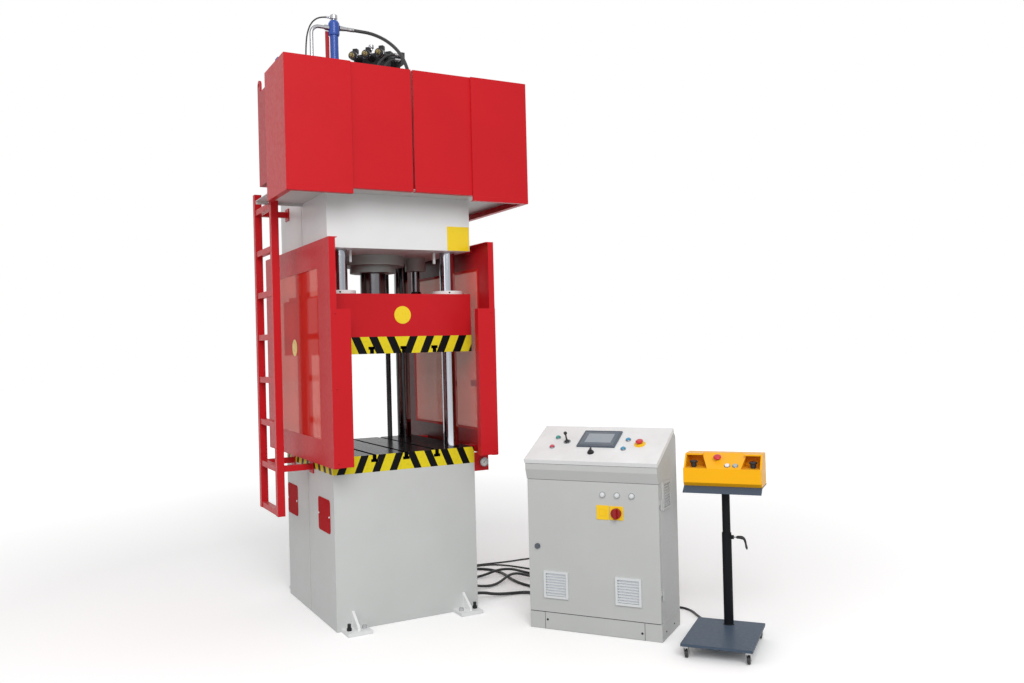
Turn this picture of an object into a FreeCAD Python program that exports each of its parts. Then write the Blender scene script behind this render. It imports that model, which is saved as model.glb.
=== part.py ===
import FreeCAD, Part
import math
import os
import re
import Sketcher

# Four-column hydraulic press with its control cabinet and two-hand stand.
# Millimetres. Origin on the floor under the middle of the press base, +X to
# the right of someone facing the press, +Y away from them, +Z up.

SIZES = {
    # press frame
    "base_width": 812,
    "base_depth": 906,
    "table_height": 900,
    "plate_thick": 90,
    "base_wall": 25,
    "base_deck": 40,
    "seam_wide": 10,
    "seam_deep": 3,
    "seam_y": 10,
    "slot_pitch": 180,
    "slot_throat": 22,
    "slot_head_wide": 38,
    "slot_head_high": 16,
    "slot_deep": 38,
    "daylight": 533,
    "slide_height": 319,
    "crown_gap": 239,
    "crown_overhang": 3,
    "crown_height": 359,
    "crown_wall": 30,
    "crown_floor": 69,
    "column_radius": 42.5,
    "column_inset_x": 92,
    "column_inset_y": 103,
    "column_hole_gap": 0.5,
    "nut_radius": 64,
    "nut_high": 55,
    "nut_gap": 0.3,
    # slide and its guides
    "slide_cell_wide": 400,
    "slide_cell_near": 135,
    "slide_wall": 53,
    "slide_cell_deep": 170,
    "slide_hole_gap": 8,
    "bush_flange_radius": 84,
    "bush_flange_thick": 20,
    "bush_sleeve_radius": 58,
    "bush_sleeve_long": 110,
    "bush_seat_gap": 0.3,
    "running_gap": 0.05,
    # cylinders
    "flange_radius": 185,
    "flange_thick": 55,
    "gland_radius": 131,
    "gland_thick": 39,
    "barrel_radius": 145,
    "barrel_rise": 580,
    "barrel_cap": 40,
    "bore_radius": 111,
    "rod_radius": 74,
    "rod_foot_radius": 112,
    "rod_foot_thick": 22,
    "piston_rise": 250,
    "piston_high": 100,
    "side_cylinder_x": 268,
    "side_barrel_radius": 61,
    "side_barrel_drop": 77,
    "side_barrel_rise": 220,
    "side_cap": 20,
    "side_bore_radius": 42,
    "side_rod_radius": 24.5,
    "side_piston_rise": 50,
    "side_piston_high": 50,
    "side_foot_radius": 48,
    "side_foot_neck": 30,
    "side_foot_high": 40,
    "stop_pin_radius": 8,
    "stop_pin_long": 62,
    "stop_pin_inward": 69,
    "stop_pin_back": 20,
    # feet and covers on the base
    "foot_wide": 130,
    "foot_long": 112,
    "foot_thick": 18,
    "foot_inset": 23,
    "gusset_high": 99,
    "gusset_nose": 36,
    "gusset_thick": 14,
    "foot_bolt_radius": 9,
    "foot_bolt_high": 34,
    "foot_bolt_head": 13,
    "foot_bolt_inset": 24,
    "hatch_wide": 205,
    "hatch_high": 178,
    "hatch_drop": 406,
    "hatch_front_inset": 68,
    "hatch_rear_inset": 218,
    "hatch_thick": 3,
    "hatch_lap": 16,
    "hatch_corner": 20,
    "gauge_plate_wide": 88,
    "gauge_plate_high": 104,
    "gauge_plate_drop": 138,
    "gauge_plate_thick": 8,
    "gauge_radius": 25,
    "gauge_deep": 28,
    "gauge_out": 49,
    "gauge_drop": 88,
    # side guards and light curtains
    "guard_out": 54,
    "guard_ahead": 187,
    "guard_behind": 197,
    "guard_drop": 33,
    "guard_rise": 33,
    "sheet": 3,
    "guard_front_lip": 33,
    "guard_top_lip": 44,
    "window_front_inset": 16,
    "window_rear_out": 25,
    "window_sill": 100,
    "window_head": 142,
    "pane_thick": 5,
    "pane_lap": 15,
    "guard_tab_long": 70,
    "cover_wide": 104,
    "cover_high": 793,
    "cover_lip": 40,
    "curtain_wide": 34,
    "curtain_deep": 36,
    "curtain_inset": 10,
    # ladder
    "ladder_out": 179,
    "ladder_wide": 373,
    "ladder_far_inset": 153,
    "ladder_tube": 40,
    "rung_tube": 32,
    "rung_low_drop": 321,
    "rung_top_rise": 268,
    "rung_count": 8,
    "ladder_far_rise": 108,
    "ladder_pad": 70,
    "ladder_pad_thick": 6,
    # sheet skirt round the hydraulic unit
    "skirt_width": 1342,
    "skirt_ahead": 215,
    "skirt_drop": 111,
    "skirt_rise": 553,
    "skirt_corner_wide": 337,
    "skirt_left_deep": 377,
    "skirt_right_deep": 968,
    "skirt_inset": 13,
    "skirt_raise": 29,
    "skirt_lip": 30,
    "skirt_hem": 17,
    "skirt_overlap": 26,
    "skirt_middle_gap": 11,
    "deck_drop": 72,
    "deck_thick": 4,
    "deck_left_rear": 20,
    "deck_lip": 15,
    "deck_gap": 0.5,
    "skirt_post": 40,
    # hydraulic unit
    "tank_side_gap": 16,
    "tank_right": 215,
    "tank_front_gap": 6,
    "tank_deep": 219,
    "tank_high": 500,
    "lug_wide": 56,
    "lug_high": 68,
    "lug_thick": 10,
    "lug_hole": 12,
    "motor_radius": 90,
    "motor_long": 300,
    "motor_inset": 118,
    "motor_left": 300,
    "motor_foot_high": 25,
    "pump_radius": 62,
    "pump_long": 120,
    "bell_radius": 78,
    "bell_long": 60,
    "pump_port_high": 40,
    "pump_port_radius": 17,
    "block_x": 43,
    "block_y": -43,
    "block_long": 230,
    "block_deep": 136,
    "block_high": 225,
    "block_turn": -45,
    "coil_radius": 23,
    "coil_long": 92,
    "coil_pitch": 81,
    "coil_high": 195,
    "coil_nut_radius": 13,
    "coil_nut_long": 16,
    # oil filter
    "filter_x": -279,
    "filter_inset": 35,
    "filter_head_radius": 30,
    "filter_head_rise": 815,
    "filter_head_high": 80,
    "filter_bowl_radius": 22.5,
    "filter_bowl_long": 205,
    "filter_port_up": 40,
    "filter_post_wide": 20,
    "filter_post_thick": 10,
    "indicator_radius": 20,
    "indicator_high": 34,
    "fitting_radius": 15,
    "fitting_long": 44,
    "pipe_radius": 10,
    "pipe_x": -405,
    "pipe_bend": 42,
    "breather_x": -570,
    "breather_inset": 70,
    "breather_radius": 24,
    "breather_pipe_radius": 12,
    "breather_rise": 625,
    "breather_high": 45,
    # control cabinet, in its own frame: origin at the front left foot
    "cabinet_out": 73,
    "cabinet_ahead": 1369,
    "cabinet_turn": -54.5,
    "cabinet_width": 702,
    "cabinet_depth": 320,
    "cabinet_shell": 3,
    "plinth_high": 88,
    "plinth_inset": 4,
    "door_top": 766,
    "door_thick": 20,
    "door_gap": 2,
    "door_frame": 26,
    "hinge_out": 4.5,
    "hinge_radius": 4,
    "hinge_pin_radius": 2,
    "hinge_knuckle": 25,
    "hinge_low": 200,
    "hinge_high": 640,
    "brow_out": 18,
    "brow_low": 820,
    "brow_top": 852,
    "desk_back_y": 289,
    "desk_back_high": 996,
    "rear_edge_high": 968,
    "lid_thick": 22,
    "lid_gap": 0.5,
    "lid_frame": 30,
    "lid_long": 337,
    "lid_over": 3,
    "gear_plate_inset": 60,
    "gear_plate_low": 150,
    "gear_plate_high": 560,
    "gear_plate_deep": 30,
    "vent_wide": 134,
    "vent_high": 138,
    "vent_thick": 9,
    "vent_left_x": 84,
    "vent_right_x": 470,
    "vent_low": 163,
    "vent_slats": 8,
    "side_vent_y": 50,
    "side_vent_low": 632,
    "lamp_radius": 11,
    "lamp_out": 12,
    "lamp_first_x": 413,
    "lamp_pitch": 76,
    "lamp_high": 704,
    "switch_plate": 68,
    "switch_plate_thick": 3,
    "switch_x": 485,
    "switch_high": 616,
    "switch_radius": 26,
    "switch_deep": 30,
    "lock_x": 52,
    "lock_high": 424,
    "lock_radius": 14,
    "lock_reach": 32,
    "screen_wide": 205,
    "screen_high": 152,
    "screen_thick": 8,
    "screen_x": 245,
    "screen_up": 130,
    "green_button_x": 113,
    "green_button_up": 213,
    "red_button_x": 112,
    "red_button_up": 121,
    "blue_button_one_x": 502,
    "blue_button_one_up": 207,
    "blue_button_two_x": 500,
    "blue_button_two_up": 120,
    "joystick_x": 176,
    "joystick_up": 176,
    "key_switch_x": 339,
    "key_switch_up": 79,
    "desk_stop_button_x": 572,
    "desk_stop_button_up": 172,
    "button_radius": 11,
    "button_out": 7,
    "button_sunk": 14,
    "button_travel": 4,
    "button_gap": 0.4,
    "stop_radius": 19,
    "stop_out": 24,
    "stop_plate_radius": 30,
    "stick_radius": 4,
    "stick_ball": 13,
    "stick_long": 62,
    "stick_knob": 9,
    "key_radius": 14,
    # two-hand stand, in its own frame: origin on the floor under the post
    "stand_out": 787,
    "stand_ahead": 2071,
    "stand_turn": -51.7,
    "stand_plate_wide": 325,
    "stand_plate_long": 425,
    "stand_plate_back": 73,
    "stand_plate_low": 60,
    "stand_plate_thick": 13,
    "post_radius": 23,
    "post_bore_radius": 19.5,
    "post_top": 521,
    "inner_radius": 19.4,
    "inner_low": 330,
    "tray_wide": 372,
    "tray_deep": 168,
    "tray_thick": 4,
    "tray_front_drop": 26,
    "tray_high": 756,
    "lever_high": 500,
    "lever_out": 60,
    "lever_drop": 58,
    "lever_radius": 5,
    "console_wide": 370,
    "console_front": 95,
    "console_back": 68,
    "console_low": 760,
    "console_ledge": 843,
    "console_top": 908,
    "slope_back": 10,
    "console_foot": 18,
    "console_wall": 8,
    "pocket_wide": 92,
    "pocket_slant": 36,
    "hood_front": 34,
    "palm_radius": 19,
    "palm_high": 32,
    "palm_neck": 14,
    "palm_out": 142,
    "palm_y": 45,
    "wheel_radius": 20,
    "wheel_wide": 16,
    "wheel_bore": 3.1,
    "axle_radius": 3,
    "caster_trail": 14,
    "caster_side": 22,
    "fork_gap": 1,
    "fork_thick": 2.5,
    "fork_plate_radius": 16,
    # cords
    "hose_radius": 9,
    "pilot_radius": 4,
    "return_radius": 7,
    "return_up": 182,
    "return_apart": 28,
    "return_inset": 40,
    "return_plate_x": 105,
    "return_plate_thick": 22,
    "tank_port_drop": 107,
    "gland_long": 20,
    "cable_1_inset": 783,
    "cable_2_inset": 583,
    "cable_3_inset": 333,
    "cable_4_inset": 123,
    "cable_5_inset": 83,
    "cable_6_inset": 51,
    "gland_wall": 6,
    "gland_high": 45,
    "conduit_radius": 16,
    "thick_cable_radius": 9,
    "cable_radius": 8,
    "thin_cable_radius": 5,
    "stand_cable_radius": 6,
}

os.makedirs("parts", exist_ok=True)
doc = FreeCAD.newDocument("hydraulic_press")
sheet = doc.addObject("Spreadsheet::Sheet", "sizes")
for row, (alias, number) in enumerate(SIZES.items(), 1):
    sheet.set(f"A{row}", alias)
    sheet.set(f"B{row}", str(number))
    sheet.setAlias(f"B{row}", alias)
doc.recompute()
V = FreeCAD.Vector
X, Y, Z = V(1, 0, 0), V(0, 1, 0), V(0, 0, 1)
PIECES = {}


def linked(text):
    """An expression of size names and named places, in which each size points at the sheet."""
    word, text = re.compile(r"[a-z][a-z0-9_]+"), str(text)
    while any(name in PLACES for name in word.findall(text)):
        text = word.sub(lambda w: f"({PLACES[w[0]]})" if w[0] in PLACES else w[0], text)
    text = word.sub(lambda w: f"sizes.{w[0]}" if w[0] in SIZES else w[0], text)
    return text.replace("+ -", "- ").replace("- -", "+ ")


def size(text):
    """The number that an expression of sizes and places comes to."""
    probe = put(doc.addObject("Part::Vertex", "probe"), (text, 0, 0))
    probe.recompute()
    number = probe.Placement.Base.x
    doc.removeObject(probe.Name)
    return number


def tie(thing, **properties):
    for name, text in properties.items():
        thing.setExpression(name, linked(text))
    return thing


def put(thing, at, axis=Z):
    """Places a thing at a point of expressions, with its own +Z along axis."""
    thing.Placement = FreeCAD.Placement(V(), FreeCAD.Rotation(Z, axis))
    for letter, text in zip("xyz", at):
        thing.setExpression(f"Placement.Base.{letter}", linked(text))
    return thing


def box(name, at, extent):
    thing = doc.addObject("Part::Box", name)
    tie(thing, Length=extent[0], Width=extent[1], Height=extent[2])
    return put(thing, at)


def cylinder(name, at, radius, height, axis=Z):
    thing = tie(doc.addObject("Part::Cylinder", name), Radius=radius, Height=height)
    return put(thing, at, axis)


def cone(name, at, low_radius, high_radius, height, axis=Z):
    thing = doc.addObject("Part::Cone", name)
    tie(thing, Radius1=low_radius, Radius2=high_radius, Height=height)
    return put(thing, at, axis)


def fuse(name, *parts):
    thing = doc.addObject("Part::MultiFuse", name)
    thing.Shapes = list(parts)
    thing.Refine = True
    return thing


def cut(name, base, *tools):
    thing = doc.addObject("Part::Cut", name)
    thing.Base = base
    thing.Tool = tools[0] if len(tools) == 1 else fuse(name + "_tools", *tools)
    thing.Refine = True
    return thing


def group(name, *parts):
    """Separate solids that share one node."""
    thing = doc.addObject("Part::Compound", name)
    thing.Links = list(parts)
    return thing


def mirrored(name, source, normal=X):
    thing = doc.addObject("Part::Mirroring", name)
    thing.Source, thing.Base, thing.Normal = source, V(), normal
    return thing


def both_sides(name, part, normal=X):
    return group(name, part, mirrored(name + "_mirror", part, normal))


def outline_sketch(body, plane, outline):
    """A closed outline whose every corner is held by two bound distances."""
    sketch = body.newObject("Sketcher::SketchObject", body.Name + "_outline")
    origin_plane = [f for f in body.Origin.OriginFeatures if f.Role == plane][0]
    sketch.AttachmentSupport = [(origin_plane, "")]
    sketch.MapMode = "FlatFace"
    corners = len(outline)
    ring = [
        V(math.cos(math.tau * i / corners), math.sin(math.tau * i / corners), 0)
        for i in range(corners)
    ]
    for i in range(corners):
        sketch.addGeometry(Part.LineSegment(ring[i] * 100, ring[(i + 1) % corners] * 100))
    for i in range(corners):
        sketch.addConstraint(Sketcher.Constraint("Coincident", i, 2, (i + 1) % corners, 1))
    for i, corner in enumerate(outline):
        for kind, text in zip(("DistanceX", "DistanceY"), corner):
            index = sketch.addConstraint(Sketcher.Constraint(kind, -1, 1, i, 1, 1.0))
            sketch.setExpression(f"Constraints[{index}]", linked(text))
    return sketch


def prism(name, plane, outline, depth, at=(0, 0, 0)):
    """A padded outline. On XY it rises, on YZ it runs to +X, on XZ it runs to -Y."""
    body = doc.addObject("PartDesign::Body", name)
    pad = body.newObject("PartDesign::Pad", name + "_pad")
    pad.Profile = outline_sketch(body, plane, outline)
    tie(pad, Length=depth)
    return put(body, at)


def turned(name, outline, at, axis=Z):
    """An outline of (radius, height) corners turned a full circle about its own Z."""
    body = doc.addObject("PartDesign::Body", name)
    spin = body.newObject("PartDesign::Revolution", name + "_turn")
    sketch = outline_sketch(body, "XZ_Plane", outline)
    spin.Profile = sketch
    spin.ReferenceAxis = (sketch, ["V_Axis"])
    spin.Angle = 360
    return put(body, at, axis)


def rounded(name, base, radius, pick):
    """Fillets the edges that pick chooses, at the radius of a named size."""
    doc.recompute()
    thing = doc.addObject("Part::Fillet", name)
    thing.Base = base
    chosen = [i for i, edge in enumerate(base.Shape.Edges, 1) if pick(edge)]
    thing.Edges = [(i, radius, radius) for i in chosen]
    return thing


def straight_along(axis):
    """Picks straight edges that run along an axis."""
    return lambda edge: edge.Curve.TypeId == "Part::GeomLine" and abs(
        edge.tangentAt(0).dot(axis)
    ) > 0.999


def piece(node, thing):
    """Names the finished sub-part, which is written to parts/ under that name."""
    thing.Label = node
    PIECES[node] = thing
    return thing


def solid(node, shape):
    thing = doc.addObject("Part::Feature", node)
    thing.Shape = shape
    return thing


TOP = "(table_height + daylight)"
SLIDE_TOP = f"({TOP} + slide_height)"
CROWN_LOW = f"({SLIDE_TOP} + crown_gap)"
CROWN_TOP = f"({CROWN_LOW} + crown_height)"
BASE_TOP = "(table_height - plate_thick)"

# Places that follow the driving sizes. A place name in an expression stands
# for its text here.
PLACES = {
    "crown_width": "base_width + 2 * crown_overhang",
    "column_x": "base_width / 2 - column_inset_x",
    "column_y": "base_depth / 2 - column_inset_y",
    "stop_pin_x": "column_x - stop_pin_inward",
    "stop_pin_y": "column_y - stop_pin_back",
    "slide_cell_far": "base_depth / 2 - slide_wall",
    "barrel_top": f"{CROWN_TOP} + barrel_rise",
    "piston_low": f"{CROWN_TOP} + piston_rise",
    "side_barrel_low": f"{CROWN_LOW} - side_barrel_drop",
    "side_barrel_top": f"{CROWN_TOP} + side_barrel_rise",
    "side_piston_low": f"{CROWN_TOP} + side_piston_rise",
    "hatch_low": "table_height - hatch_drop",
    "hatch_front_y": "hatch_front_inset - base_depth / 2",
    "hatch_rear_y": "base_depth / 2 - hatch_rear_inset",
    "gauge_plate_low": "table_height - gauge_plate_drop",
    "gauge_high": "table_height - gauge_drop",
    "guard_x": "base_width / 2 + guard_out",
    "guard_front": "base_depth / 2 + guard_ahead",
    "guard_rear": "base_depth / 2 + guard_behind",
    "guard_low": "table_height - guard_drop",
    "guard_top": f"{CROWN_LOW} + guard_rise",
    "window_front": "base_depth / 2 - window_front_inset",
    "window_rear": "base_depth / 2 + window_rear_out",
    "window_low": "table_height + window_sill",
    "window_top": "guard_top - window_head",
    "ladder_x": "base_width / 2 + ladder_out",
    "ladder_far_y": "base_depth / 2 - ladder_far_inset",
    "ladder_near_y": "ladder_far_y - ladder_wide",
    "ladder_far_top": "rung_top + ladder_far_rise",
    "rung_top": f"{CROWN_LOW} + rung_top_rise",
    "rung_pitch": "(rung_top - table_height + rung_low_drop) / (rung_count - 1)",
    "skirt_front": "base_depth / 2 + skirt_ahead",
    "skirt_low": f"{CROWN_TOP} - skirt_drop",
    "skirt_top": f"{CROWN_TOP} + skirt_rise",
    "deck_low": f"{CROWN_TOP} - deck_drop",
    "tank_left": "skirt_width / 2 - tank_side_gap",
    "tank_top": f"{CROWN_TOP} + tank_high",
    "tank_front": "skirt_front - skirt_left_deep - tank_front_gap",
    "tank_rear": "tank_front - tank_deep",
    "filter_y": "filter_inset - tank_front",
    "breather_y": "breather_inset - tank_front",
    "return_y": "tank_front - return_inset",
    "return_port_y": "tank_front - filter_inset",
    "motor_y": "skirt_front - motor_inset",
    "filter_head_low": f"{CROWN_TOP} + filter_head_rise",
    "filter_bowl_low": "filter_head_low - filter_bowl_long",
    "filter_port_high": "filter_head_low + filter_port_up",
    "breather_low": f"{CROWN_TOP} + breather_rise",
    "return_high": "barrel_top + return_up",
    "tank_port_high": "tank_top - tank_port_drop",
    "cabinet_x": "base_width / 2 + cabinet_out",
    "cabinet_y": "base_depth / 2 - cabinet_ahead",
    "stand_x": "base_width / 2 + stand_out",
    "stand_y": "base_depth / 2 - stand_ahead",
}
CORNERS = [(sx, sy) for sx in (-1, 1) for sy in (-1, 1)]


def column_tools(name, low, height, radius):
    """One upright cylinder at each column."""
    return [
        cylinder(f"{name}_{i}", (f"{sx} * column_x", f"{sy} * column_y", low), radius, height)
        for i, (sx, sy) in enumerate(CORNERS, 1)
    ]


# Cable glands: where they sit on the base's right side and on the cabinet's
# back, each with the radius of the cable that it holds.
BASE_GLANDS = [
    (f"base_depth / 2 - cable_{number}_inset", radius)
    for number, radius in enumerate(
        ["thick_cable_radius"] + 3 * ["cable_radius"] + 2 * ["thin_cable_radius"], 1
    )
]
CABINET_GLANDS = [
    (60, "thick_cable_radius"),
    (120, "cable_radius"),
    (170, "cable_radius"),
    (220, "cable_radius"),
    (320, "thin_cable_radius"),
    (420, "thin_cable_radius"),
    (560, "stand_cable_radius"),
]

# ---------------------------------------------------------------- press frame


def seam_grooves(name, width, low, height):
    """The shallow upright groove half way along each side."""
    return [
        box(f"{name}_{side}", (x, "seam_y - seam_wide / 2", low), ("seam_deep", "seam_wide", height))
        for side, x in (("left", f"-{width} / 2"), ("right", f"{width} / 2 - seam_deep"))
    ]


def base_frame():
    """A welded box with a thick deck, open behind four hatch covers."""
    shell = box(
        "base_shell",
        ("-base_width / 2", "-base_depth / 2", 0),
        ("base_width", "base_depth", BASE_TOP),
    )
    inside = box(
        "base_inside",
        ("-base_width / 2 + base_wall", "-base_depth / 2 + base_wall", "base_wall"),
        (
            "base_width - 2 * base_wall",
            "base_depth - 2 * base_wall",
            f"{BASE_TOP} - base_wall - base_deck",
        ),
    )
    mouths = [
        box(
            f"hatch_mouth_{end}",
            ("-base_width / 2 - 5", f"hatch_{end}_y + hatch_lap", "hatch_low + hatch_lap"),
            ("base_width + 10", "hatch_wide - 2 * hatch_lap", "hatch_high - 2 * hatch_lap"),
        )
        for end in ("front", "rear")
    ]
    holes = column_tools(
        "base_column_hole",
        f"{BASE_TOP} - base_deck - 5",
        "base_deck + 10",
        "column_radius + column_hole_gap",
    )
    grooves = seam_grooves("base_seam", "base_width", 0, BASE_TOP)
    glands = [
        cylinder(
            f"base_gland_{i}",
            ("base_width / 2", y, "gland_high"),
            f"{radius} + gland_wall",
            "gland_long",
            X,
        )
        for i, (y, radius) in enumerate(BASE_GLANDS, 1)
    ]
    return piece(
        "base_frame",
        fuse("base_frame", cut("base_box", shell, inside, *mouths, *holes, *grooves), *glands),
    )


def hatch_covers():
    covers = []
    for end in ("front", "rear"):
        plate = box(
            f"hatch_{end}_plate",
            ("-base_width / 2 - hatch_thick", f"hatch_{end}_y", "hatch_low"),
            ("hatch_thick", "hatch_wide", "hatch_high"),
        )
        cover = rounded(f"hatch_{end}", plate, size("hatch_corner"), straight_along(X))
        covers += [cover, mirrored(f"hatch_{end}_right", cover)]
    return piece("hatch_covers", group("hatch_covers", *covers))


def foot_brackets():
    """Each foot is a plate with an upright gusset, two in front and two behind."""
    feet = []
    for sx, sy in CORNERS:
        side = "left" if sx < 0 else "right"
        end = "front" if sy < 0 else "rear"
        inner = "base_width / 2 - foot_inset"
        plate = box(
            f"foot_plate_{side}_{end}",
            (
                f"-({inner})" if sx < 0 else f"{inner} - foot_wide",
                "-base_depth / 2 - foot_long" if sy < 0 else "base_depth / 2",
                0,
            ),
            ("foot_wide", "foot_long", "foot_thick"),
        )
        front = "base_depth / 2"
        gusset = prism(
            f"gusset_{side}_{end}",
            "YZ_Plane",
            [
                (f"{sy} * ({front})", "foot_thick"),
                (f"{sy} * ({front})", "gusset_high"),
                (f"{sy} * ({front} + foot_long - 20)", "gusset_nose"),
                (f"{sy} * ({front} + foot_long - 20)", "foot_thick"),
            ],
            "gusset_thick",
            at=(f"{sx} * ({inner} - foot_wide / 2) - gusset_thick / 2", 0, 0),
        )
        feet.append(fuse(f"foot_{side}_{end}", plate, gusset))
    return piece("foot_brackets", group("foot_brackets", *feet))


def frame_fasteners():
    """Levelling bolts on the feet, and the nuts on both ends of every column."""
    parts = []
    for i, (sx, sy) in enumerate(CORNERS, 1):
        for j, inward in enumerate(("foot_bolt_inset", "(foot_wide - foot_bolt_inset)"), 1):
            at = (
                f"{sx} * (base_width / 2 - foot_inset - {inward})",
                f"{sy} * (base_depth / 2 + foot_long / 2)",
                "foot_thick",
            )
            outline = [
                (0, 0),
                ("foot_bolt_head", 0),
                ("foot_bolt_head", "foot_bolt_head"),
                ("foot_bolt_radius", "foot_bolt_head"),
                ("foot_bolt_radius", f"foot_bolt_high / {j}"),
                (0, f"foot_bolt_high / {j}"),
            ]
            parts.append(turned(f"foot_bolt_{i}_{j}", outline, at))
        for end, low in (("low", f"{BASE_TOP} - base_deck - nut_high"), ("high", CROWN_TOP)):
            at = (f"{sx} * column_x", f"{sy} * column_y", low)
            nut = doc.addObject("Part::Prism", f"column_nut_{i}_{end}_hexagon")
            tie(nut, Circumradius="nut_radius", Height="nut_high")
            put(nut, at)
            bore = cylinder(f"column_nut_{i}_{end}_bore", at, "column_radius + nut_gap", "nut_high")
            parts.append(cut(f"column_nut_{i}_{end}", nut, bore))
    return piece("frame_fasteners", group("frame_fasteners", *parts))


def slots(name, mouth, direction):
    """Three T slots that run front to back. direction is the way they are deep."""
    tools = []
    for i in (-1, 0, 1):
        throat_low = f"{mouth} - slot_deep" if direction < 0 else mouth
        head_low = f"{mouth} - slot_deep" if direction < 0 else f"{mouth} + slot_deep - slot_head_high"
        for part, wide, low, high in (
            ("throat", "slot_throat", throat_low, "slot_deep"),
            ("head", "slot_head_wide", head_low, "slot_head_high"),
        ):
            tools.append(
                box(
                    f"{name}_{part}_{i + 2}",
                    (f"{i} * slot_pitch - {wide} / 2", "-base_depth / 2 - 5", low),
                    (wide, "base_depth + 10", high),
                )
            )
    return tools


def table_plate():
    plate = box(
        "table_blank",
        ("-base_width / 2", "-base_depth / 2", BASE_TOP),
        ("base_width", "base_depth", "plate_thick"),
    )
    holes = column_tools(
        "table_column_hole",
        f"{BASE_TOP} - 5",
        "plate_thick + 10",
        "column_radius + column_hole_gap",
    )
    return piece(
        "table_plate",
        cut("table_plate", plate, *slots("table_slot", "table_height", -1), *holes),
    )


def crown_frame():
    """An open-topped welded box: thick floor, walls, and bosses round what passes through."""
    shell = box(
        "crown_shell",
        ("-crown_width / 2", "-base_depth / 2", CROWN_LOW),
        ("crown_width", "base_depth", "crown_height"),
    )
    hollow = box(
        "crown_hollow",
        ("-crown_width / 2 + crown_wall", "-base_depth / 2 + crown_wall", f"{CROWN_LOW} + crown_floor"),
        ("crown_width - 2 * crown_wall", "base_depth - 2 * crown_wall", "crown_height"),
    )
    middle = box(
        "crown_middle",
        ("-crown_width / 2", "-barrel_radius - crown_wall", CROWN_LOW),
        ("crown_width", "2 * (barrel_radius + crown_wall)", "crown_height"),
    )
    posts = column_tools("crown_boss", CROWN_LOW, "crown_height", "nut_radius")
    cells = cut("crown_cells", hollow, middle, *posts)
    holes = column_tools(
        "crown_column_hole",
        f"{CROWN_LOW} - 5",
        "crown_height + 10",
        "column_radius + column_hole_gap",
    )
    main_bore = cylinder(
        "crown_main_bore",
        (0, 0, f"{CROWN_LOW} - 5"),
        "barrel_radius + column_hole_gap",
        "crown_height + 10",
    )
    side_bores = [
        cylinder(
            f"crown_side_bore_{i}",
            (f"{sx} * side_cylinder_x", 0, f"{CROWN_LOW} - 5"),
            "side_barrel_radius + column_hole_gap",
            "crown_height + 10",
        )
        for i, sx in ((1, -1), (2, 1))
    ]
    grooves = seam_grooves("crown_seam", "crown_width", CROWN_LOW, "crown_height")
    hollowed = cut("crown_hollowed", shell, cells, *holes, main_bore, *side_bores, *grooves)
    pins = [
        cylinder(
            f"stop_pin_{i}",
            (f"{sx} * stop_pin_x", "-stop_pin_y", f"{CROWN_LOW} - stop_pin_long"),
            "stop_pin_radius",
            "stop_pin_long + 10",
        )
        for i, sx in ((1, -1), (2, 1))
    ]
    return piece("crown_frame", fuse("crown_frame", hollowed, *pins))


def columns():
    low = f"{BASE_TOP} - base_deck - nut_high - 12"
    height = f"{CROWN_TOP} + nut_high + 12 - ({low})"
    return piece("columns", group("columns", *column_tools("column", low, height, "column_radius")))


def cylinders():
    """The main cylinder and the two smaller ones beside it, each turned about its axis."""
    bore_low = f"{CROWN_LOW} - flange_thick / 2"
    low = f"{CROWN_LOW} - flange_thick - gland_thick"
    main = turned(
        "main_cylinder",
        [
            ("rod_radius + running_gap", low),
            ("gland_radius", low),
            ("gland_radius", f"{low} + gland_thick"),
            ("flange_radius", f"{low} + gland_thick"),
            ("flange_radius", CROWN_LOW),
            ("barrel_radius", CROWN_LOW),
            ("barrel_radius", "barrel_top"),
            (0, "barrel_top"),
            (0, "barrel_top - barrel_cap"),
            ("bore_radius", "barrel_top - barrel_cap"),
            ("bore_radius", bore_low),
            ("rod_radius + running_gap", bore_low),
        ],
        (0, 0, 0),
    )
    side = turned(
        "side_cylinder",
        [
            ("side_rod_radius + running_gap", "side_barrel_low"),
            ("side_barrel_radius", "side_barrel_low"),
            ("side_barrel_radius", "side_barrel_top"),
            (0, "side_barrel_top"),
            (0, "side_barrel_top - side_cap"),
            ("side_bore_radius", "side_barrel_top - side_cap"),
            ("side_bore_radius", "side_barrel_low + side_cap"),
            ("side_rod_radius + running_gap", "side_barrel_low + side_cap"),
        ],
        ("-side_cylinder_x", 0, 0),
    )
    piece("main_cylinder", main)
    piece("side_cylinders", both_sides("side_cylinders", side))


# ------------------------------------------------------------------- slide


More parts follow.
